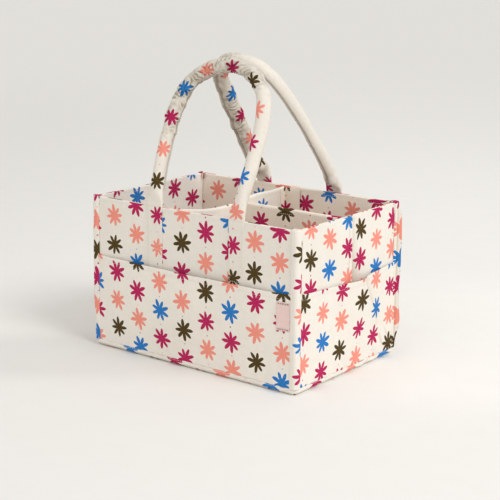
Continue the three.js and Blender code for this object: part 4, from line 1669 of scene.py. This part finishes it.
# %% [markdown]
# The caddy stands on a pale sweep in soft studio light. A broad, far light on the right reaches the
# end wall, a weaker one in front opens the shade, and an even world fills the rest. Far lights are
# suns here, with a wide disc for soft edges, so the ground stays evenly pale right to the back. The
# fall of light over the floor is painted into its colour: darker towards the back and the left, lighter
# to the right. So are three soft patches near the caddy: a painted shadow at its front left, painted
# light over the window's own cast shadow behind that, and painted light at its right.

# %% Floor, lamps and world
view_cosine = 0.79
view_sine = 0.61
sky_strength = 0.77

floor_material, tree, surface = open_material("studio floor")
place = add_node(tree, "TexCoord", "Object")
floor_x, floor_y = split(tree, place)
backwards_share = floor_y * view_cosine - floor_x * view_sine
sideways_share = floor_y * view_sine + floor_x * view_cosine
# Painted light: the floor is darker towards the back, and near the caddy darker to the left and lighter to
# the right.
near_part = ramp(tree, backwards_share, 4.0, 0.6)
painted_side_light = ramp(tree, sideways_share, -0.7, 0.5, -0.05, 0.08) * near_part + 1
floor_painted_light_and_grain = ramp(tree, backwards_share, -0.6, 2.4, 1.0, 0.86) * painted_side_light
# Painted shadow and painted light near the caddy: (sideways none and full, backwards start, full, still full
# and end, amount).
painted_light_patches = (
    ((0.15, -0.3), (-0.17, -0.09, 0.0, 0.09), -0.1),
    ((0.15, -0.3), (0.0, 0.12, 0.3, 0.6), 0.05),
    ((0.1, 0.25), (-0.3, -0.15, 0.2, 0.5), 0.06),
)
for (none_at, full_at), (starts, full, still, ends), amount in painted_light_patches:
    depth = ramp(tree, backwards_share, starts, full) * ramp(tree, backwards_share, ends, still)
    floor_painted_light_and_grain = floor_painted_light_and_grain * (ramp(tree, sideways_share, none_at, full_at) * depth * amount + 1)
floor_painted_light_and_grain = floor_painted_light_and_grain * ramp(tree, cloudy(tree, place, 30, 4.0), 0.3, 0.7, 0.99, 1.0)
feed_named(tree, surface, {
    "Base Color": blend_colours(tree, "MULTIPLY", 1.0, linear("ECEBE7"), floor_painted_light_and_grain),
    "Roughness": 0.9,
    "Specular IOR Level": 0.1,
})

floor_mesh = bmesh.new()
bmesh.ops.create_circle(floor_mesh, cap_ends=True, segments=96, radius=60)
floor_data = bpy.data.meshes.new("floor")
floor_mesh.to_mesh(floor_data)
floor_mesh.free()
floor_piece = bpy.data.objects.new("floor", floor_data)
floor_piece.data.materials.append(floor_material)
scene.collection.objects.link(floor_piece)
floor_piece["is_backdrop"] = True


def add_sun(name, towards, strength, spread, colour):
    """A far light. towards points from the caddy to the light."""
    lamp = bpy.data.objects.new(name, bpy.data.lights.new(name, "SUN"))
    lamp.data.energy = strength
    lamp.data.angle = math.radians(spread)
    lamp.data.color = linear(colour)[:3]
    turn = Vector(towards).to_track_quat("Z", "Y").to_matrix().to_4x4()
    lamp.matrix_world = Matrix.Translation(Vector(towards)) @ turn
    scene.collection.objects.link(lamp)


add_sun("window", (1.0, -0.08, 0.82), 1.42, 30, "FDFDFD")
add_sun("front fill", (-0.25, -1.0, 0.5), 0.26, 60, "FFFBF6")

world = bpy.data.worlds.new("studio")
world.use_nodes = True
scene.world = world
tree = world.node_tree
sky = tree.nodes["Background"]
seen = tree.nodes.new("ShaderNodeBackground")
seen.inputs["Color"].default_value = linear("E6E3DD")
sky.inputs["Color"].default_value = linear("FAF8F6")
sky.inputs["Strength"].default_value = sky_strength
path = tree.nodes.new("ShaderNodeLightPath").outputs
direct = calc(tree, "MAXIMUM", path["Is Camera Ray"], path["Is Glossy Ray"])
direct = direct.do("MAXIMUM", path["Is Transmission Ray"])
choose = tree.nodes.new("ShaderNodeMixShader")
feed(tree, choose.inputs["Fac"], direct)
feed(tree, choose.inputs[1], sky.outputs["Background"])
feed(tree, choose.inputs[2], seen.outputs["Background"])
feed(tree, tree.nodes["World Output"].inputs["Surface"], choose.outputs["Shader"])

# %% [markdown]
# Last, both boxes are printed in millimetres, the frame's and the cloth's. The cloth stands proud
# of the frame by a little, as fabric does.

# %% Sizes
size = {
    "cad": [list(corner) for corner in cad_box],
    "visual": [list(corner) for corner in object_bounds()],
}
for key, box in size.items():
    print(key, "box in mm:", [[round(value / mm, 1) for value in corner] for corner in box])
